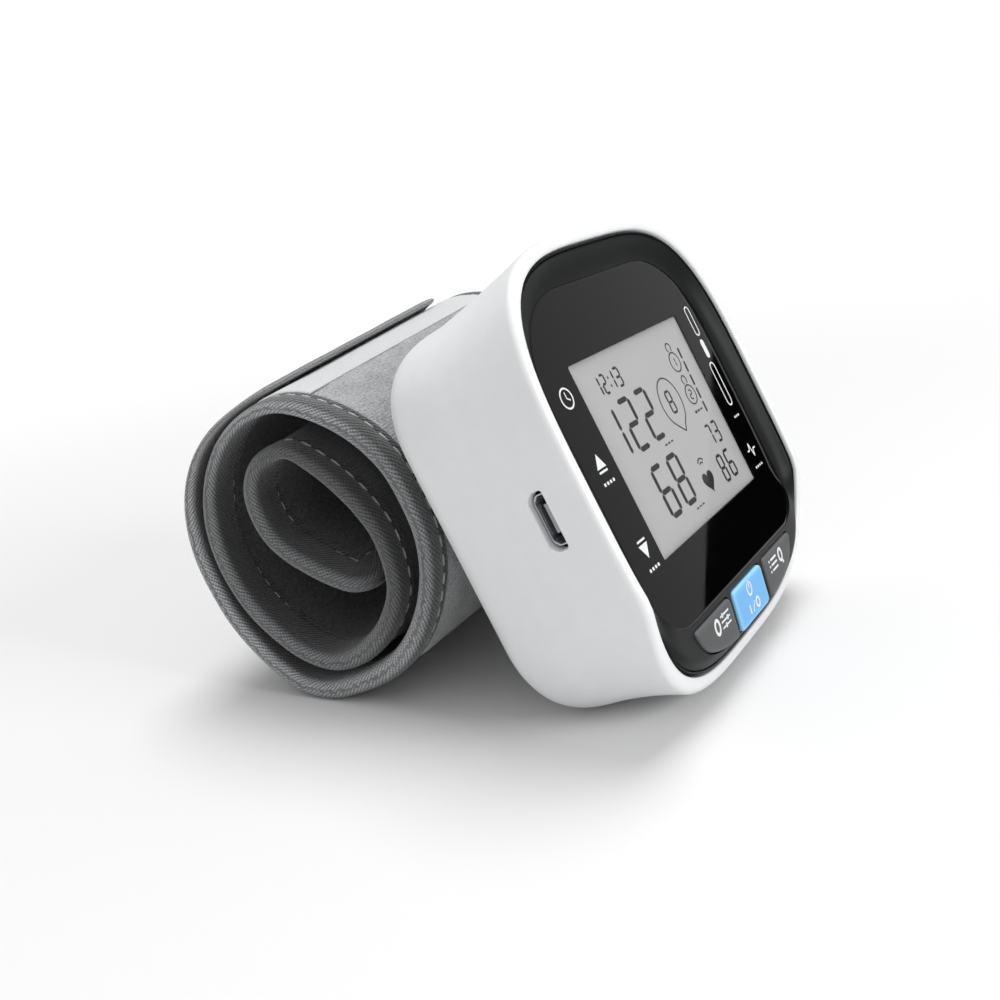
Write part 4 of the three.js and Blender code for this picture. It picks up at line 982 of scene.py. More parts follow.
def ribbon(bm, points, width, closed=False):
    """A flat ribbon of even width along a line, or round a closed outline."""
    ends = (points[-1], points[0]) if closed else (points[0], points[-1])
    line = [ends[0], *points, ends[1]]
    left = []
    right = []
    for before, point, after in zip(line, line[1:], line[2:]):
        ahead = Vector(after) - Vector(before)
        side = Vector((ahead.y, -ahead.x)).normalized() * width / 2
        left.append(Vector((point[0] - side.x, point[1] - side.y, 0)))
        right.append(Vector((point[0] + side.x, point[1] + side.y, 0)))
    carry(bm, first_ring(bm, left, closed), right)


def filled(bm, points):
    """A flat face inside an outline."""
    edges = first_ring(bm, [Vector((x, y, 0)) for x, y in points])
    bmesh.ops.contextual_create(bm, geom=edges)


def ellipse(x, y, across, up, start=0.0, end=360.0, steps=32):
    """Points on an ellipse, from start to end in degrees."""
    whole = end - start >= 360
    count = steps if whole else steps + 1
    turns = [math.radians(between(start, end, n / steps)) for n in range(count)]
    return [(x + across * math.cos(t), y + up * math.sin(t)) for t in turns]


def heart(x, y, size):
    """Points on a heart of that height."""
    points = []
    for n in range(32):
        t = n / 32 * 2 * math.pi
        across = 16 * math.sin(t) ** 3
        up = 13 * math.cos(t) - 5 * math.cos(2 * t) - 2 * math.cos(3 * t) - math.cos(4 * t)
        points.append((x + across * size / 29, y + (up + 2.5) * size / 29))
    return points


def put_ink(name, bm, height, finish, body, slot, place=DISPLAY_PLACE):
    """Gives flat marks their thickness and lays them at a height."""
    bmesh.ops.remove_doubles(bm, verts=bm.verts[:], dist=WELD)
    bmesh.ops.recalc_face_normals(bm, faces=bm.faces[:])
    made = bmesh.ops.extrude_face_region(bm, geom=bm.faces[:], use_keep_orig=True)["geom"]
    raised = [item for item in made if isinstance(item, bmesh.types.BMVert)]
    bmesh.ops.translate(bm, vec=(0, 0, INK_THICK), verts=raised)
    put(name, bm, finish, body, slot, place=place @ Matrix.Translation((0, 0, height)), sharp=20)


# %% Seven-segment digits
SEGMENTS = {"1": "bc", "2": "abged", "3": "abgcd", "6": "afgedc", "7": "abc", "8": "abcdefg"}
SEGMENT_ENDS = {
    "a": ((0, 1), (1, 1)),
    "b": ((1, 1), (1, 0.5)),
    "c": ((1, 0.5), (1, 0)),
    "d": ((0, 0), (1, 0)),
    "e": ((0, 0.5), (0, 0)),
    "f": ((0, 1), (0, 0.5)),
    "g": ((0, 0.5), (1, 0.5)),
}


def digit(bm, sign, left, right, low, high, width):
    """One digit in a box, its segments drawn on the box's inner edge."""
    for segment in SEGMENTS[sign]:
        ends = []
        for across, up in SEGMENT_ENDS[segment]:
            x = between(left + width / 2, right - width / 2, across)
            y = between(low + width / 2, high - width / 2, up)
            ends.append(Vector((x, y)))
        along = (ends[1] - ends[0]).normalized() * width * 0.12
        bar(bm, ends[0] + along, ends[1] - along, width)


# %% Display digits and signs
DIGIT_BOXES = (
    ("1", -17.0, -14.35, -0.3, 3.2, 0.42),
    ("2", -13.8, -12.15, -0.3, 3.2, 0.42),
    ("1", -11.8, -9.45, -0.3, 3.2, 0.42),
    ("3", -9.0, -7.1, -0.3, 3.2, 0.42),
    ("1", -18.0, -14.3, -10.7, -2.0, 0.78),
    ("2", -12.6, -8.15, -10.9, -1.7, 0.88),
    ("2", -6.5, -2.05, -10.9, -1.7, 0.88),
    ("6", -12.75, -8.35, -22.7, -13.6, 0.88),
    ("8", -6.7, -2.25, -22.7, -13.6, 0.88),
    ("8", 3.4, 5.5, -8.65, -4.4, 0.44),
    ("7", 11.3, 13.3, -17.3, -13.2, 0.46),
    ("3", 14.1, 16.2, -17.3, -13.2, 0.46),
    ("8", 9.9, 12.3, -23.9, -18.7, 0.54),
    ("6", 13.3, 15.9, -23.9, -18.7, 0.54),
)
LINE = 0.26
LCD_SHIFT = 0.4

lcd = start_sweep()
for box in DIGIT_BOXES:
    digit(lcd, *box)
for y in (0.7, 2.1):
    bar(lcd, (-11.4, y), (-10.95, y), 0.42, 0.2)
for n in range(5):
    x = 15.9 - 0.1 * n
    bar(lcd, (x, 1.05 - 2.6 * n), (x - 0.08, -1.1 - 2.6 * n), 0.62, 0.25)
for y in (-12.1, -23.8):
    for n in range(3):
        bar(lcd, (-4.2 + 1.2 * n, y), (-3.4 + 1.2 * n, y), 0.28, 0.2)
ribbon(lcd, ellipse(4.6, -6.6, 3.7, 4.4, -68, 236), LINE)
ribbon(lcd, [(2.55, -10.25), (4.9, -12.1)], LINE)
ribbon(lcd, [(4.9, -12.1), (6.0, -10.7)], LINE)
for y, sign, left, right in ((-1.0, "1", 11.75, 12.85), (-7.3, "2", 12.0, 13.2)):
    ribbon(lcd, ellipse(12.6, y, 1.8, 1.8), LINE, closed=True)
    ribbon(lcd, ellipse(12.6, y + 2.75, 0.85, 0.85, -50, 230, 20), LINE)
    digit(lcd, sign, left, right, y - 0.95, y + 0.95, LINE)
for n in range(3):
    bar(lcd, (10.9 + 1.2 * n, -10.4), (11.8 + 1.2 * n, -10.4), 0.5 - 0.1 * n, 0.2)
filled(lcd, heart(4.15, -21.7, 3.8))
for size in (0.7, 1.4):
    ribbon(lcd, ellipse(4.3, -18.7, size, size, 35, 145, 12), LINE)

ink_finish, ink_tree, ink_surface = new_finish("dark_display_segments", "#121314", 0.4, IOR=1.46)
vary(ink_surface, grain(ink_tree, 1.5), {0: "#060607", 1: "#0e0f10"})
lcd_place = DISPLAY_PLACE @ Matrix.Translation((LCD_SHIFT, 0, 0))
put_ink("display_segments", lcd, POLARISER_Z, ink_finish, "monitor", "display", lcd_place)

# %% [markdown]
# ## Printed marks
# The lens and the keys carry pale screen-printed marks. Words are left off: plain signs stand in their
# places, such as a clock face, an arrow up and down for the two pressures, a pulse line and three lamps.

# %% Lens print
print_finish, print_tree, print_surface = new_finish("pale_screen_print_ink", "#e3e5e6", 0.55)
vary(print_surface, grain(print_tree, 3.0, 4.0), {0: "#d8dadb", 1: "#eceded"})

STROKE = 0.3


def slot_outline(x, low, high, half):
    """Points round an upright slot with round ends."""
    top = ellipse(x, high - half, half, half, 0, 180, 10)
    bottom = ellipse(x, low + half, half, half, 180, 360, 10)
    return top + bottom


def dash_row(bm, left, y, count, step, share, tall):
    """A row of plain dashes, each a share of the step long."""
    for n in range(count):
        start = left + n * step
        bar(bm, (start, y), (start + step * share, y), tall, 0.1)


marks = start_sweep()
ribbon(marks, ellipse(-25.0, 2.2, 1.6, 1.6), STROKE, closed=True)
ribbon(marks, [(-25.0, 3.2), (-25.0, 2.2), (-24.2, 1.75)], STROKE * 0.8)
filled(marks, [(-26.4, -9.3), (-23.6, -9.3), (-25.0, -7.0)])
bar(marks, (-26.3, -9.85), (-23.7, -9.85), 0.34, 0.1)
dash_row(marks, -26.6, -11.7, 4, 0.95, 0.62, 0.5)
filled(marks, [(-25.9, -22.2), (-23.1, -22.2), (-24.5, -24.5)])
bar(marks, (-25.8, -21.6), (-23.2, -21.6), 0.34, 0.1)
dash_row(marks, -26.1, -26.2, 4, 0.95, 0.62, 0.5)
pulse = [(22.7, -21.9), (23.6, -21.9), (24.1, -20.6), (24.8, -23.3), (25.3, -21.9), (26.4, -21.9)]
for start, end in zip(pulse, pulse[1:]):
    bar(marks, start, end, STROKE, 0.2)
dash_row(marks, 22.8, -25.2, 4, 0.95, 0.62, 0.4)
ribbon(marks, slot_outline(26.1, 1.2, 6.9, 0.85), STROKE, closed=True)
filled(marks, slot_outline(25.95, -3.4, 0.35, 0.72))
ribbon(marks, slot_outline(25.4, -12.9, -4.3, 0.95), STROKE, closed=True)
dash_row(marks, 24.2, -15.2, 3, 0.85, 0.62, 0.4)
put_ink("lens_print", marks, LENS_Z - 0.01, print_finish, "monitor", "lens")


# %% Key print
def slider_sign(bm, x, y, knobs):
    """Three short rails with a knob on each, the sign for settings."""
    for n, knob in enumerate(knobs):
        row = y + 0.95 * (1 - n)
        bar(bm, (x - 1.8, row), (x + 1.8, row), 0.3, 0.1)
        bar(bm, (x + knob, row - 0.42), (x + knob, row + 0.42), 0.5, 0.1)


def list_sign(bm, x, y):
    """Three dots with a line beside each, the sign for a list of readings."""
    for n in range(3):
        row = y + 0.95 * (1 - n)
        bar(bm, (x - 1.9, row), (x - 1.4, row), 0.42, 0.1)
        bar(bm, (x - 0.9, row), (x + 1.9, row), 0.38, 0.1)


KEY_MARK_Y = -3.4
set_marks = start_sweep()
ribbon(set_marks, ellipse(-15.4, KEY_MARK_Y, 0.85, 1.15), 0.55, closed=True)
slider_sign(set_marks, -11.9, KEY_MARK_Y, (-0.9, 0.8, -0.2))
put_ink("set_key_print", set_marks, 0.48, print_finish, "set_key", "key", STRIP_PLACE)

power_marks = start_sweep()
ribbon(power_marks, ellipse(-0.4, -2.9, 0.95, 1.15, 120, 420), 0.32)
bar(power_marks, (-0.4, -2.9), (-0.4, -1.5), 0.32, 0.1)
bar(power_marks, (-2.1, -6.9), (-2.1, -5.3), 0.42, 0.1)
bar(power_marks, (-1.0, -6.9), (0.1, -5.3), 0.26, 0.1)
ribbon(power_marks, ellipse(1.5, -6.1, 0.72, 0.8), 0.4, closed=True)
put_ink("power_key_print", power_marks, 0.49, print_finish, "power_key", "blue", STRIP_PLACE)

memory_marks = start_sweep()
list_sign(memory_marks, 12.0, KEY_MARK_Y)
ribbon(memory_marks, ellipse(15.9, KEY_MARK_Y + 0.3, 0.8, 1.05), 0.55, closed=True)
bar(memory_marks, (16.2, KEY_MARK_Y - 0.6), (16.7, KEY_MARK_Y - 1.5), 0.55, 0.1)
put_ink("memory_key_print", memory_marks, 0.48, print_finish, "memory_key", "key", STRIP_PLACE)

# %% [markdown]
# ## The roll of the cuff
# The cuff is a padded band, rolled up on itself behind the monitor. Its middle line is given by a table:
# height and depth as shares of the roll's size, and the band's thickness. A centripetal curve through the
# table never overshoots where the turns are tight. The curve is sampled finely once, and a function then
# finds any point of the band by its length along the roll, its height off the middle and its place across.

# %% Roll table
ROLL_BOTTOM = -27.2
ROLL_SPAN = 53.5
ROLL_BACK = REAR_Z - GAP
ROLL_THICK = 3.7
ROLL_SHARES = (
    (0.989, 0.338, 0.30), (0.990, 0.454, 0.32), (0.966, 0.596, 0.41), (0.925, 0.705, 0.51),
    (0.869, 0.785, 0.65), (0.800, 0.847, 0.78), (0.720, 0.890, 0.92), (0.621, 0.918, 1.00),
    (0.508, 0.925, 1.00), (0.396, 0.916, 1.00), (0.284, 0.882, 1.00), (0.181, 0.832, 1.00),
    (0.097, 0.764, 1.00), (0.049, 0.671, 1.00), (0.036, 0.563, 1.00), (0.039, 0.449, 1.00),
    (0.064, 0.338, 1.00), (0.116, 0.241, 1.00), (0.191, 0.155, 0.97), (0.280, 0.088, 0.97),
    (0.387, 0.045, 0.97), (0.499, 0.034, 0.97), (0.611, 0.043, 0.97), (0.714, 0.084, 0.95),
    (0.807, 0.153, 0.89), (0.886, 0.241, 0.81), (0.935, 0.333, 0.68), (0.950, 0.436, 0.57),
    (0.936, 0.538, 0.57), (0.893, 0.637, 0.65), (0.824, 0.723, 0.78), (0.733, 0.789, 0.92),
    (0.626, 0.828, 0.97), (0.508, 0.836, 0.97), (0.393, 0.815, 0.97), (0.284, 0.764, 0.97),
    (0.191, 0.695, 0.97), (0.131, 0.604, 0.97), (0.120, 0.503, 0.97), (0.146, 0.394, 0.97),
    (0.198, 0.301, 0.97), (0.267, 0.234, 0.97), (0.351, 0.202, 0.97), (0.445, 0.191, 0.97),
    (0.538, 0.209, 0.97), (0.636, 0.249, 0.95), (0.725, 0.303, 0.86), (0.793, 0.364, 0.78),
    (0.811, 0.439, 0.76), (0.794, 0.518, 0.81), (0.738, 0.578, 0.92), (0.662, 0.600, 0.97),
    (0.581, 0.593, 0.97), (0.512, 0.559, 0.97), (0.449, 0.508, 0.97), (0.385, 0.445, 0.95),
    (0.329, 0.372, 0.89), (0.303, 0.321, 0.84),
)
ROLL_SUBSTEPS = 12


def roll_knots():
    """The table as points: y, z and thickness, with one more point beyond either end."""
    knots = [
        Vector((ROLL_BOTTOM + up * ROLL_SPAN, ROLL_BACK - back * ROLL_SPAN, thick * ROLL_THICK))
        for up, back, thick in ROLL_SHARES
    ]
    before = knots[0] * 2 - knots[1]
    after = knots[-1] * 2 - knots[-2]
    return [before] + knots + [after]


def curve_point(knots, span, share):
    """A point on the centripetal curve between two knots."""
    p0, p1, p2, p3 = knots[span : span + 4]
    d0 = (p1 - p0).length ** 0.5
    d1 = (p2 - p1).length ** 0.5
    d2 = (p3 - p2).length ** 0.5
    leave = ((p1 - p0) / d0 - (p2 - p0) / (d0 + d1) + (p2 - p1) / d1) * d1
    reach = ((p2 - p1) / d1 - (p3 - p1) / (d1 + d2) + (p3 - p2) / d2) * d1
    s2 = share * share
    s3 = s2 * share
    return (
        p1 * (2 * s3 - 3 * s2 + 1)
        + leave * (s3 - 2 * s2 + share)
        + p2 * (3 * s2 - 2 * s3)
        + reach * (s3 - s2)
    )


knots = roll_knots()
roll_line = []
for span in range(len(ROLL_SHARES) - 1):
    for step in range(ROLL_SUBSTEPS):
        roll_line.append(curve_point(knots, span, step / ROLL_SUBSTEPS))
roll_line.append(knots[-2])
roll_runs = [0.0]
for before, after in zip(roll_line, roll_line[1:]):
    roll_runs.append(roll_runs[-1] + (after.xy - before.xy).length)
ROLL_LENGTH = roll_runs[-1]
print("cuff band", round(ROLL_LENGTH, 1), "mm long")

# %% Points on the band
CUFF_NEAR = -BACK_HALF + 0.5
CUFF_WIDE = 70.0
CUFF_FAR = CUFF_NEAR + CUFF_WIDE
CUFF_GROWTH = 0.118
CUFF_LEAN = 0.065
GROW_FROM_Y = -42.0207
TAB_KNOT = 6


def run_of(knot):
    """Length along the band at a knot of the table, which may be a fraction."""
    return roll_runs[round(knot * ROLL_SUBSTEPS)]


def roll_station(run):
    """Middle point, outward direction and half thickness at a length along the band."""
    run = min(max(run, 0.0), ROLL_LENGTH - 1e-6)
    low = bisect_right(roll_runs, run) - 1
    high = low + 1
    share = (run - roll_runs[low]) / (roll_runs[high] - roll_runs[low])
    place = roll_line[low].lerp(roll_line[high], share)
    back = roll_line[max(low - 1, 0)].xy
    ahead = roll_line[min(high + 1, len(roll_line) - 1)].xy
    along = (ahead - back).normalized()
    return place.xy, Vector((-along.y, along.x)), place.z / 2


def roll_point(run, share, x, lift=0.0):
    """A point of the band: share of its half thickness off the middle, plus a lift in millimetres."""
    place, out, half = roll_station(run)
    flat = place + out * (share * half + lift)
    scale = 1 + CUFF_GROWTH * ((x - CUFF_NEAR) / CUFF_WIDE)
    lean = CUFF_LEAN * (flat.y - ROLL_BACK + ROLL_SPAN / 2)
    y = GROW_FROM_Y + (flat.x - GROW_FROM_Y) * scale
    z = ROLL_BACK + (flat.y - ROLL_BACK) * scale
    return Vector((x + lean, y, z))


HINGE_RUN = run_of(TAB_KNOT)
SPLIT_RUN = HINGE_RUN + 5.0
print("tab hinge at", round(HINGE_RUN, 1), "mm from the free end")

# %% [markdown]
# ## Paths along the cuff's edge
# The binding goes round the band's edge: along one side, round the end and back along the other side. A
# path at some inset from that edge is a U with rounded corners. The tab and the band behind it are two
# pieces that meet where the tab bends, and both are drawn with such paths.

# %% Edge paths
TAB_CORNER = 16.0
BAND_CORNER = 5.0
TAB_ARM_STEPS = 46
BAND_ARM_STEPS = 430
CORNER_POINTS = 14
END_POINTS = 24


def edge_path(inset, end_run, corner_radius, arm_steps):
    """A U along the band at an inset from its edge: (run, x) pairs from the near arm to the far arm."""
    side = 1 if end_run > SPLIT_RUN else -1
    end = end_run - side * inset
    near = CUFF_NEAR + inset
    far = CUFF_FAR - inset
    radius = min(max(corner_radius - inset, 0.05), (far - near) / 2)
    turn_run = end - side * radius
    arm = [between(SPLIT_RUN, turn_run, n / arm_steps) for n in range(arm_steps)]
    turns = [n / CORNER_POINTS * math.pi / 2 for n in range(CORNER_POINTS + 1)]
    bend = [(turn_run + side * radius * math.sin(turn), radius * (1 - math.cos(turn))) for turn in turns]
    path = [(run, near) for run in arm]
    path += [(run, near + x) for run, x in bend]
    path += [(end, between(near + radius, far - radius, n / END_POINTS)) for n in range(1, END_POINTS)]
    path += [(run, far - x) for run, x in reversed(bend)]
    path += [(run, far) for run in reversed(arm)]
    return path


def path_lengths(path):
    """Length along a path at each of its points, in millimetres of flat cloth."""
    lengths = [0.0]
    for before, after in zip(path, path[1:]):
        lengths.append(lengths[-1] + math.dist(before, after))
    return lengths


TAB = (0.0, TAB_CORNER, TAB_ARM_STEPS)
BAND = (ROLL_LENGTH, BAND_CORNER, BAND_ARM_STEPS)
print("binding of the tab", round(path_lengths(edge_path(0, *TAB))[-1]), "mm")

# %% [markdown]
# ## Cuff binding
# A knitted tape is folded over the raw edge of the band and sewn through. It bulges over the padding at
# the edge, is pulled in along the seam and ends in a thin free lip. One closed section, carried along the
# path by its points, gives that shape; a little noise and a pull at each stitch keep it from looking
# machined.

# %% Binding section
OUTER_WIDE = 4.4
INNER_WIDE = 7.0
OUTER_SEAM = 3.3
INNER_SEAM = 6.0
STITCH_PITCH = 3.0
STITCH_PULL = 0.09
PULL_REACH = 0.8
# Seed, size and amount of the tape's wander
TAPE_WANDER = (3.1, 7.0, 0.1)
# Inset and share of the half thickness, from the edge inwards: where both start, then above and below
TAPE_ROUND = ((0.0, 0.0), (0.03, 0.22), (0.14, 0.44), (0.36, 0.64), (0.7, 0.81), (1.15, 0.93), (1.7, 0.99))
OUTER_TAPE = (
    (2.3, 1.0), (2.7, 0.96), (3.0, 0.88), (OUTER_SEAM, 0.78), (3.6, 0.86), (3.95, 0.93), (OUTER_WIDE, 0.9),
    (OUTER_WIDE + 0.06, 0.7),
)
INNER_TAPE = (
    (2.6, 1.0), (3.8, 0.99), (4.9, 0.98), (5.6, 0.93), (INNER_SEAM, 0.86), (6.4, 0.93), (6.8, 0.95),
    (INNER_WIDE, 0.92), (INNER_WIDE + 0.06, 0.7),
)
# Round the tape: from the edge over the top, and back below
LOWER_TAPE = [(inset, -share) for inset, share in reversed(TAPE_ROUND[1:] + INNER_TAPE)]
TAPE_SECTION = [*TAPE_ROUND, *OUTER_TAPE, *LOWER_TAPE]


def seam_pull(inset, share, length):
    """How much a stitch pulls the tape in, between its holes and beside the seam."""
    line = OUTER_SEAM if share > 0 else INNER_SEAM
    near_seam = max(1 - abs(inset - line) / PULL_REACH, 0.0)
    return STITCH_PULL * near_seam * (1 - math.cos(2 * math.pi * length / STITCH_PITCH))


def cloth_noise(run, x, seed, size, amount):
    """A smooth wander of the cloth, in millimetres."""
    return amount * noise.noise(Vector((run / size, x / size, seed)))


# How light the tape is painted along the band, from knot to knot: full outside, and painted shade by the
# case and inside the roll
TAPE_PAINTED_SHADE = (
    (0, 1.0), (16, 1.0), (19, 0.65), (22, 0.65), (25, 1.0), (27, 1.0), (31, 0.5), (38, 0.5), (41, 0.22),
    (47, 0.22), (50, 0.4), (57, 0.4),
)

# The insets where the painted highlight on the tape's crest ends softly, and the painted shade of its flank,
# above and below
OUTER_PAINTED_CREST = (0.0, 0.8, 0.22)
INNER_PAINTED_CREST = (0.15, 1.4, 0.12)


def tape_painted_shade(run):
    """The tape's lightness at a length along the band: a painted shade."""
    for (low, here), (high, there) in zip(TAPE_PAINTED_SHADE, TAPE_PAINTED_SHADE[1:]):
        if run < run_of(high):
            return between(here, there, smooth_share(run, run_of(low), run_of(high)))
    return TAPE_PAINTED_SHADE[-1][1]


def tape_painted_light(inset, share, run):
    """How light the tape is painted: a painted highlight on its crest, painted shade down its flanks and in
    its seam.
    """
    if inset in (OUTER_SEAM, INNER_SEAM):
        return 0.0
    start, end, flank = OUTER_PAINTED_CREST if share > 0 else INNER_PAINTED_CREST
    return tape_painted_shade(run) * between(flank, 1.0, 1 - smooth_share(inset, start, end))


def binding(piece):
    """The tape along one piece's edge."""
    rings = []
    weaves = []
    edges = []
    lengths = path_lengths(edge_path(0, *piece))
    across = 0.0
    before = (0.0, 0.0)
    for inset, share in TAPE_SECTION:
        height = share * ROLL_THICK / 2
        across += math.dist((inset, height), before)
        before = (inset, height)
        path = edge_path(inset, *piece)
        points = []
        for (run, x), length in zip(path, lengths):
            lift = cloth_noise(length, across, *TAPE_WANDER) * min(inset, 1.0)
            lift -= seam_pull(inset, share, length)
            points.append(roll_point(run, share, x, -abs(lift) if share < 0 else lift))
        rings.append(points)
        weaves.append([Vector((length, across, 0)) for length in lengths])
        edges.append([tape_painted_light(inset, share, run) for run, _ in path])
    rings.append(rings[0])
    weaves.append([Vector((length, across + 0.4, 0)) for length in lengths])
    edges.append(edges[0])
    return swept(rings, False, weaves, edges, WELD)


print(len(TAPE_SECTION), "points round the tape")

# %% Knitted binding
RIB_PITCH = 0.55
RIB_ANGLE = math.radians(52)
LOOP_PITCH = 0.5
LOOP_ANGLE = RIB_ANGLE + math.radians(75)


def cloth(tree, place, scale, detail, **inputs):
    """A mottled texture at a place on the cloth, which counts in millimetres."""
    sockets = {"Vector": place, "Scale": scale, "Detail": detail, **inputs}
    return add_node(tree, "TexNoise", sockets, noise_dimensions="2D")


def sine_rib(tree, place, pitch, angle):
    """A sine wave over the cloth: its pitch in millimetres, and the angle of its direction."""
    turns = 2 * math.pi / pitch
    way = (turns * math.cos(angle), turns * math.sin(angle), 0)
    phase = add_node(tree, "VectorMath", {0: place, 1: way}, operation="DOT_PRODUCT").outputs["Value"]
    return add_node(tree, "Math", {0: phase}, operation="SINE")


knit_finish, knit_tree, knit_surface = new_finish(
    "knitted_polyester_binding", "#6d6f72", 0.9, Sheen_Weight=0.35, Sheen_Roughness=0.5
)
knit_place = read(knit_tree, "weave", "Vector")
knit_wander = cloth(knit_tree, knit_place, 0.8, 2.0).outputs["Color"]
knit_shift = add_node(knit_tree, "VectorMath", {0: knit_wander, "Scale": 0.5}, operation="SCALE")
knit_bent = add_node(knit_tree, "VectorMath", {0: knit_place, 1: knit_shift}, operation="ADD")
ribs = sine_rib(knit_tree, knit_bent, RIB_PITCH, RIB_ANGLE)
loops = sine_rib(knit_tree, knit_bent, LOOP_PITCH, LOOP_ANGLE)
knit_height = add_node(knit_tree, "Math", {0: loops, 1: 0.45, 2: ribs}, operation="MULTIPLY_ADD")
knit_fuzz = {0: cloth(knit_tree, knit_place, 3.5, 3.0), 1: 1.6, 2: knit_height}
knit_rough = add_node(knit_tree, "Math", knit_fuzz, operation="MULTIPLY_ADD")
knit_level = add_node(knit_tree, "MapRange", {"Value": knit_rough, "From Min": -1.0, "From Max": 2.6})
# The edge layer scales the knit's colour from 0.1 to 1.6 times: a painted highlight on the tape's crest,
# painted shade on its flanks, in its seam, by the case and inside the roll
vary(knit_surface, knit_level, {0: "#333436", 1: "#a3a4a6"}, painted_shading=(0.1, 1.6), bump=0.00016)

tapes = ["cuff_binding_near", "cuff_binding_far"]
put("cuff_binding", binding(BAND), knit_finish, "monitor", "binding", tapes, sharp=80)
tab_binding = put("tab_binding", binding(TAB), knit_finish, slot="binding", sharp=80)

# %% [markdown]
# ## Cuff cover and lining
# The band's outside is a mottled grey jersey and its inside a dark brushed loop, which grips the sleeve.
# Both are padded: they rise from the seam to a soft crown. They are drawn with the same U paths, from the
# seam inwards until the two arms meet in the middle, where the halves are welded.

# %% Faces of the band
COVER_INSETS = (3.7, 3.9, 4.2, 4.8, 5.8, 8.0, 10.5, 14.0, 18.0, 22.5, 27.0, 31.5, 35.0)
LINING_INSETS = (6.3, 6.5, 6.8, 7.3, 8.2, 9.6, 11.5, 14.0, 18.0, 22.5, 27.0, 31.5, 35.0)
CROWN_REACH = 7.0
CROWN_POWER = 0.6
SOFT_REACH = 5.0
MIDDLE_WELD = 0.002
# Step of the seed, size and share of the amount of each wave of the cloth, and how far it sinks on the whole
CLOTH_WAVES = ((0, 16.0, 1.0), (5, 5.0, 0.35))
CLOTH_SINK = 0.4
# Where the band goes inside the roll: past it the cloth's colour is darkened, a painted shade
PAINTED_SHADE_RUNS = (run_of(30), run_of(33))


def crown(inset, foot, base):
    """Share of the half thickness at an inset: base at the seam, rising softly to 1."""
    rise = smooth_share(inset, foot, foot + CROWN_REACH) ** CROWN_POWER
    return between(base, 1.0, rise)


def band_face(piece, side, insets, base, under, seed, amount):
    """One face of the band: side is 1 for the cover and -1 for the lining."""
    foot = insets[0]
    section = [(inset, under) for inset in reversed(insets)]
    section += [(foot, base)]
    section += [(inset, crown(inset, foot, base)) for inset in insets[1:]]
    rings = []
    weaves = []
    edges = []
    for inset, share in section:
        soft = smooth_share(inset, foot, foot + SOFT_REACH) if share > under else 0.0
        path = edge_path(inset, *piece)
        points = []
        for run, x in path:
            lift = 0.0
            for seed_step, size, part in CLOTH_WAVES:
                lift += cloth_noise(run, x, seed + seed_step, size, amount * part) * soft
            points.append(roll_point(run, side * share, x, side * (lift - amount * CLOTH_SINK * soft)))
        rings.append(points)
        weaves.append([Vector((run, x, 0)) for run, x in path])
        # Painted shade: the edge layer falls from 1 to 0 where the band goes inside the roll
        edges.append([1 - smooth_share(run, *PAINTED_SHADE_RUNS) for run, _ in path])
    return swept(rings, False, weaves, edges, MIDDLE_WELD)


print(len(COVER_INSETS), "insets to the cover")

# %% Mottled jersey
SPECK = 0.5

jersey_finish, jersey_tree, jersey_surface = new_finish(
    "mottled_grey_jersey", "#a9abad", 0.9, Sheen_Weight=0.3, Sheen_Roughness=0.5
)
jersey_place = read(jersey_tree, "weave", "Vector")
jersey_specks = cloth(jersey_tree, jersey_place, 1 / SPECK, 3.0, Roughness=0.65)
jersey_clouds = {0: cloth(jersey_tree, jersey_place, 0.22, 1.0), 1: 0.35, 2: jersey_specks}
jersey_mixed = add_node(jersey_tree, "Math", jersey_clouds, operation="MULTIPLY_ADD")
jersey_colours = {0.42: "#7c7d7e", 0.86: "#b8b9ba", 0.62: "#9a9b9d"}
# The edge layer darkens the jersey down to a fifth inside the roll: painted shade
vary(jersey_surface, jersey_mixed, jersey_colours, painted_shading=(0.2, 1.0))
jersey_ribs = {0: sine_rib(jersey_tree, jersey_place, 0.55, 0.0), 1: 0.12, 2: jersey_specks}
jersey_height = add_node(jersey_tree, "Math", jersey_ribs, operation="MULTIPLY_ADD")
vary(jersey_surface, jersey_height, bump=0.0002)
print("jersey ready")

# %% Brushed loop lining
lining_finish, lining_tree, lining_surface = new_finish(
    "brushed_loop_lining", "#343537", 0.95, Sheen_Weight=0.15, Sheen_Roughness=0.6
)
lining_place = read(lining_tree, "weave", "Vector")
lining_turn = {"Vector": lining_place, "Rotation": (0, 0, 0.5), "Scale": (1.2, 4.0, 1.0)}
lining_drawn = add_node(lining_tree, "Mapping", lining_turn)
lining_fibres = cloth(lining_tree, lining_drawn, 0.9, 4.0, Roughness=0.7)
vary(lining_surface, lining_fibres, {0.3: "#18191a", 0.75: "#717274"}, bump=0.0003)
print("lining ready")

# %% Cover and lining
cuff_face = band_face(BAND, 1, COVER_INSETS, 0.74, 0.4, 11.0, 0.22)
cuff_face = put("cuff_jersey", cuff_face, jersey_finish, "monitor", "cloth", ["cuff_cover"], sharp=80)
cuff_back = band_face(BAND, -1, LINING_INSETS, 0.76, 0.4, 23.0, 0.22)
back = ("monitor", "lining", ["cuff_lining"])
cuff_back = put("cuff_brushed_lining", cuff_back, lining_finish, *back, sharp=80)
# The tab's faces carry an edge of 1, so the knit's painted crest level, 1.6 times its colour, covers them
# whole
tab_face = band_face(TAB, 1, COVER_INSETS, 0.74, 0.1, 31.0, 0.12)
tab_face = put("tab_jersey", tab_face, knit_finish, slot="cloth", replaces=["closing_tab"], sharp=80)
tab_back = band_face(TAB, -1, LINING_INSETS, 0.76, 0.1, 37.0, 0.05)
tab_back = put("tab_lining", tab_back, lining_finish, slot="cloth", sharp=80)

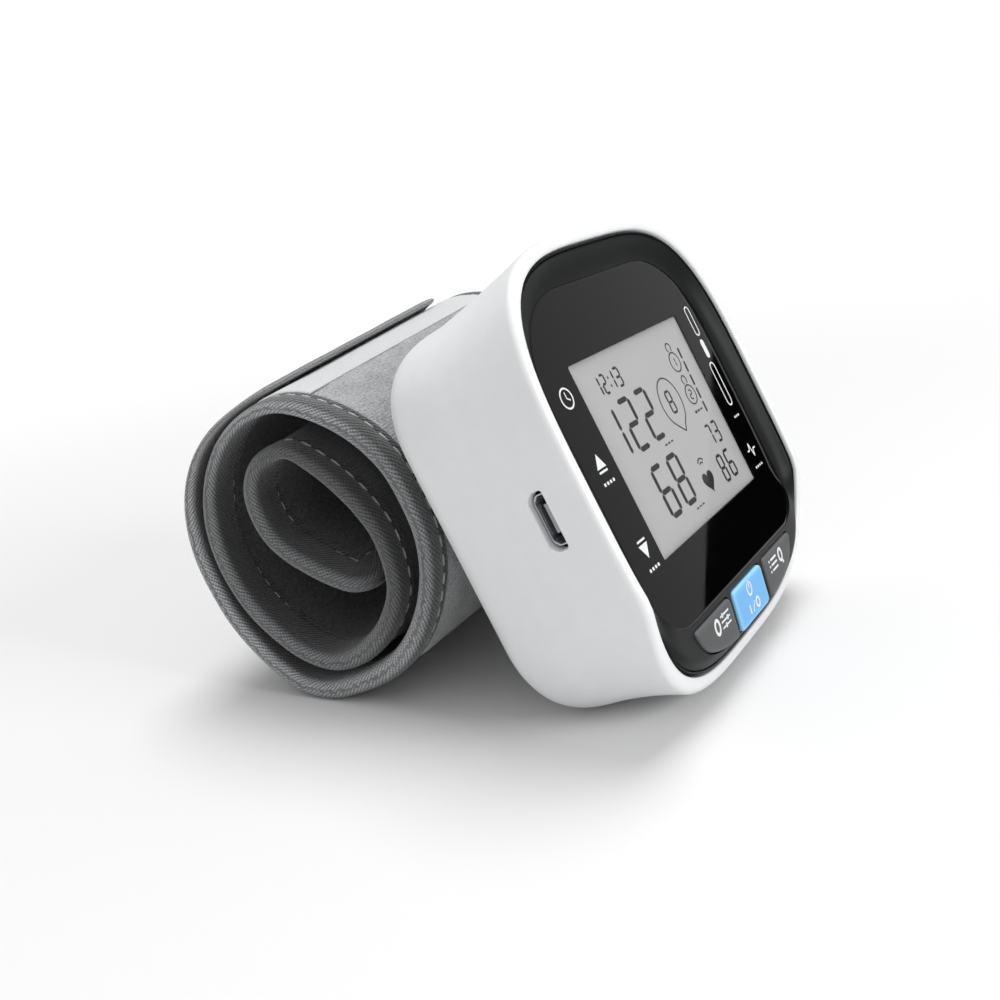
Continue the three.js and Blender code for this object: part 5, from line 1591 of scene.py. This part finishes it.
# %% Stitches
THREAD_LONG = 1.2
THREAD_HALF = 0.22
THREAD_FLAT = 0.8
# Side of the band, its seam, the height of the thread there, and how small the stitches are
SEAMS = ((1, OUTER_SEAM, 0.82, 1.0), (-1, INNER_SEAM, -0.88, 0.75))

thread_finish, thread_tree, thread_surface = new_finish(
    "polyester_sewing_thread", "#b4b6b8", 0.6, Sheen_Weight=0.3
)
vary(thread_surface, grain(thread_tree, 4.0), {0: "#a2a4a6", 1: "#c4c6c8"}, bump=0.00005)


def stitch_row(bm, piece, side, inset, level, small):
    """Stitches along the seam on one face of a piece."""
    path = edge_path(inset, *piece)
    lengths = path_lengths(edge_path(0, *piece))
    size = Matrix.Diagonal((THREAD_LONG * small, THREAD_HALF * small, THREAD_HALF * small * THREAD_FLAT, 1))
    target = STITCH_PITCH / 2
    for n in range(len(path) - 1):
        if lengths[n + 1] < target:
            continue
        share = (target - lengths[n]) / (lengths[n + 1] - lengths[n])
        run = between(path[n][0], path[n + 1][0], share)
        x = between(path[n][1], path[n + 1][1], share)
        here = roll_point(run, level, x)
        ahead = roll_point(path[n + 1][0], level, path[n + 1][1]) - roll_point(path[n][0], level, path[n][1])
        out = roll_point(run, level, x, side) - here
        along = ahead.normalized()
        across = out.cross(along).normalized()
        turn = Matrix((along, across, along.cross(across))).transposed().to_4x4()
        place = Matrix.Translation(here) @ turn @ size
        bmesh.ops.create_uvsphere(bm, u_segments=6, v_segments=5, radius=1, matrix=place)
        target += STITCH_PITCH


def seam(piece):
    """Both rows of a piece."""
    bm = start_sweep()
    for row in SEAMS:
        stitch_row(bm, piece, *row)
    return bm


put("cuff_stitches", seam(BAND), thread_finish, "monitor", "binding", sharp=80)
tab_stitches = put("tab_stitches", seam(TAB), thread_finish, slot="binding", sharp=80)

# %% [markdown]
# ## Fasteners of the tab
# A pale strip of flat loop pile is sewn on the cover, and the hook patch under the tab grips it. Both are
# thin sheets that follow the roll, so they are swept along it from edge to edge.

# %% Loop and hook patches
PATCH_FROM = run_of(24.5) + 3.2
PATCH_TO = run_of(30)
PATCH_INSET = 4.3
HOOK_FROM = run_of(1.5)
HOOK_TO = run_of(4.5)
HOOK_INSET = 15
PATCH_STEPS = 60


def strip_sheet(start, end, inset, low, high, side):
    """A thin sheet on one face of the band, its long edges rounded."""
    near = CUFF_NEAR + inset
    far = CUFF_FAR - inset
    rise = ((near, low), (near + 0.1, high - 0.08), (near + 0.5, high))
    fall = ((far - 0.5, high), (far - 0.1, high - 0.08), (far, low))
    runs = [between(start, end, step / PATCH_STEPS) for step in range(PATCH_STEPS + 1)]
    rings = [[roll_point(run, side, x, side * lift) for x, lift in rise + fall] for run in runs]
    return swept(rings, weaves=[[Vector((run, x, 0)) for x, _ in rise + fall] for run in runs])


pile_finish, pile_tree, pile_surface = new_finish(
    "pale_loop_pile", "#d9dadb", 0.85, Sheen_Weight=0.3, Sheen_Roughness=0.4
)
pile_loops = cloth(pile_tree, read(pile_tree, "weave", "Vector"), 2.2, 3.0)
vary(pile_surface, pile_loops, {0: "#bcbebf", 1: "#d8d9da"}, bump=0.00006)
loop_strip = strip_sheet(PATCH_FROM, PATCH_TO, PATCH_INSET, -0.12, 0.12, 1)
put("pale_loop_strip", loop_strip, pile_finish, "monitor", "patch", ["loop_patch"], sharp=80)

hook_finish, hook_tree, hook_surface = new_finish("black_nylon_hooks", "#303134", 0.7)
hook_place = read(hook_tree, "weave", "Vector")
hook_rows = sine_rib(hook_tree, hook_place, 1.1, 0.0)
hook_teeth = sine_rib(hook_tree, hook_place, 0.8, math.pi / 2)
vary(hook_surface, add_node(hook_tree, "Math", {0: hook_rows, 1: hook_teeth}, operation="ADD"), bump=0.00015)
hook_strip = strip_sheet(HOOK_FROM, HOOK_TO, HOOK_INSET, -0.15, 0.12, -1)
put("hook_strip", hook_strip, hook_finish, "tab", "hook", ["hook_patch"], sharp=80)

# %% [markdown]
# ## Bending the tab
# The tab peels open about a line where it leaves the roll. Cloth can't hinge sharply there, so the pieces
# of the tab bend between the two bodies: before the start point they stay with the monitor, after the end
# point they follow the tab.

# %% Blend the tab's cloth
BEND_SPREAD = 3.2
middle_x = (CUFF_NEAR + CUFF_FAR) / 2
blend_start = DISPLAY_PLACE @ roll_point(HINGE_RUN + BEND_SPREAD, 0, middle_x)
blend_end = DISPLAY_PLACE @ roll_point(HINGE_RUN - BEND_SPREAD, 0, middle_x)
for piece in (tab_binding, tab_face, tab_back, tab_stitches):
    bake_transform(piece, "monitor", "tab", start=tuple(blend_start), end=tuple(blend_end))
print("tab bends over", 2 * BEND_SPREAD, "mm")

# %% [markdown]
# ## Parts that keep their CAD shape
# The rear cover, the inner works and the pump are right as they are: moulded blocks, rods and plates.
# They only need their materials. The mesh is never touched, so the checks still hold.


# %% Finishes of the inner parts
# Name, two close colours, roughness, size of the grain in millimetres, bump in metres, metallic, the parts
INNER_FINISHES = (
    ("spark_textured_white_abs", "#cccecf", "#d8dadb", 0.5, 0.3, 0.00003, 0.0, "rear_cover"),
    ("grey_glass_filled_nylon", "#434548", "#525457", 0.6, 0.4, 0.00003, 0.0, "inner_chassis cuff_plate"),
    ("zinc_plated_steel", "#a9adb2", "#c2c6ca", 0.3, 0.5, 0.00001, 1.0,
     "case_screw_1 case_screw_2 case_screw_3 case_screw_4 pump_motor"),
    ("white_acetal", "#dcdcd7", "#e8e8e4", 0.5, 0.6, 0.00001, 0.0, "display_frame pressure_sensor"),
    ("dark_silicone_rubber", "#333436", "#404244", 0.75, 0.5, 0.00002, 0.0, "contact_strip button_pad"),
    ("black_epoxy", "#161617", "#202022", 0.5, 0.3, 0.00001, 0.0,
     "set_switch power_switch memory_switch controller_chip buzzer"),
    ("pale_grey_lcp", "#a6a8a9", "#b8babb", 0.5, 0.4, 0.00001, 0.0, "usb_tongue"),
    ("turned_brass", "#b8923f", "#d0a850", 0.3, 0.4, 0.00001, 1.0,
     "set_plunger power_plunger memory_plunger pump_crank valve_pin"),
    ("green_solder_mask", "#184a2b", "#22633b", 0.4, 1.6, 0.00002, 0.0, "circuit_board"),
    ("foil_wrapped_cell", "#9da1a7", "#b2b6bc", 0.35, 2.5, 0.00006, 1.0, "battery_cell valve_body"),
    ("grey_polycarbonate", "#818489", "#919499", 0.45, 0.5, 0.00001, 0.0,
     "pump_head air_manifold air_nozzle"),
    ("grey_pvc_bladder", "#27282b", "#313236", 0.6, 0.8, 0.00004, 0.0, "air_bladder"),
    ("clear_pet_curl_stay", "#c9cac6", "#d3d4d0", 0.4, 1.2, 0.00001, 0.0, "curl_stay"),
)

for name, dark, pale, roughness, spot, bump, metallic, solids in INNER_FINISHES:
    finish, tree, surface = new_finish(name, pale, roughness, Metallic=metallic)
    vary(surface, grain(tree, 1 / spot, 3.0), {0: dark, 1: pale}, bump=bump)
    for solid in solids.split():
        for slot_number in range(max(len(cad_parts[solid].material_slots), 1)):
            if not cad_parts[solid].material_slots:
                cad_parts[solid].data.materials.append(finish)
            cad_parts[solid].material_slots[slot_number].material = finish
print(len(INNER_FINISHES), "finishes on inner parts")
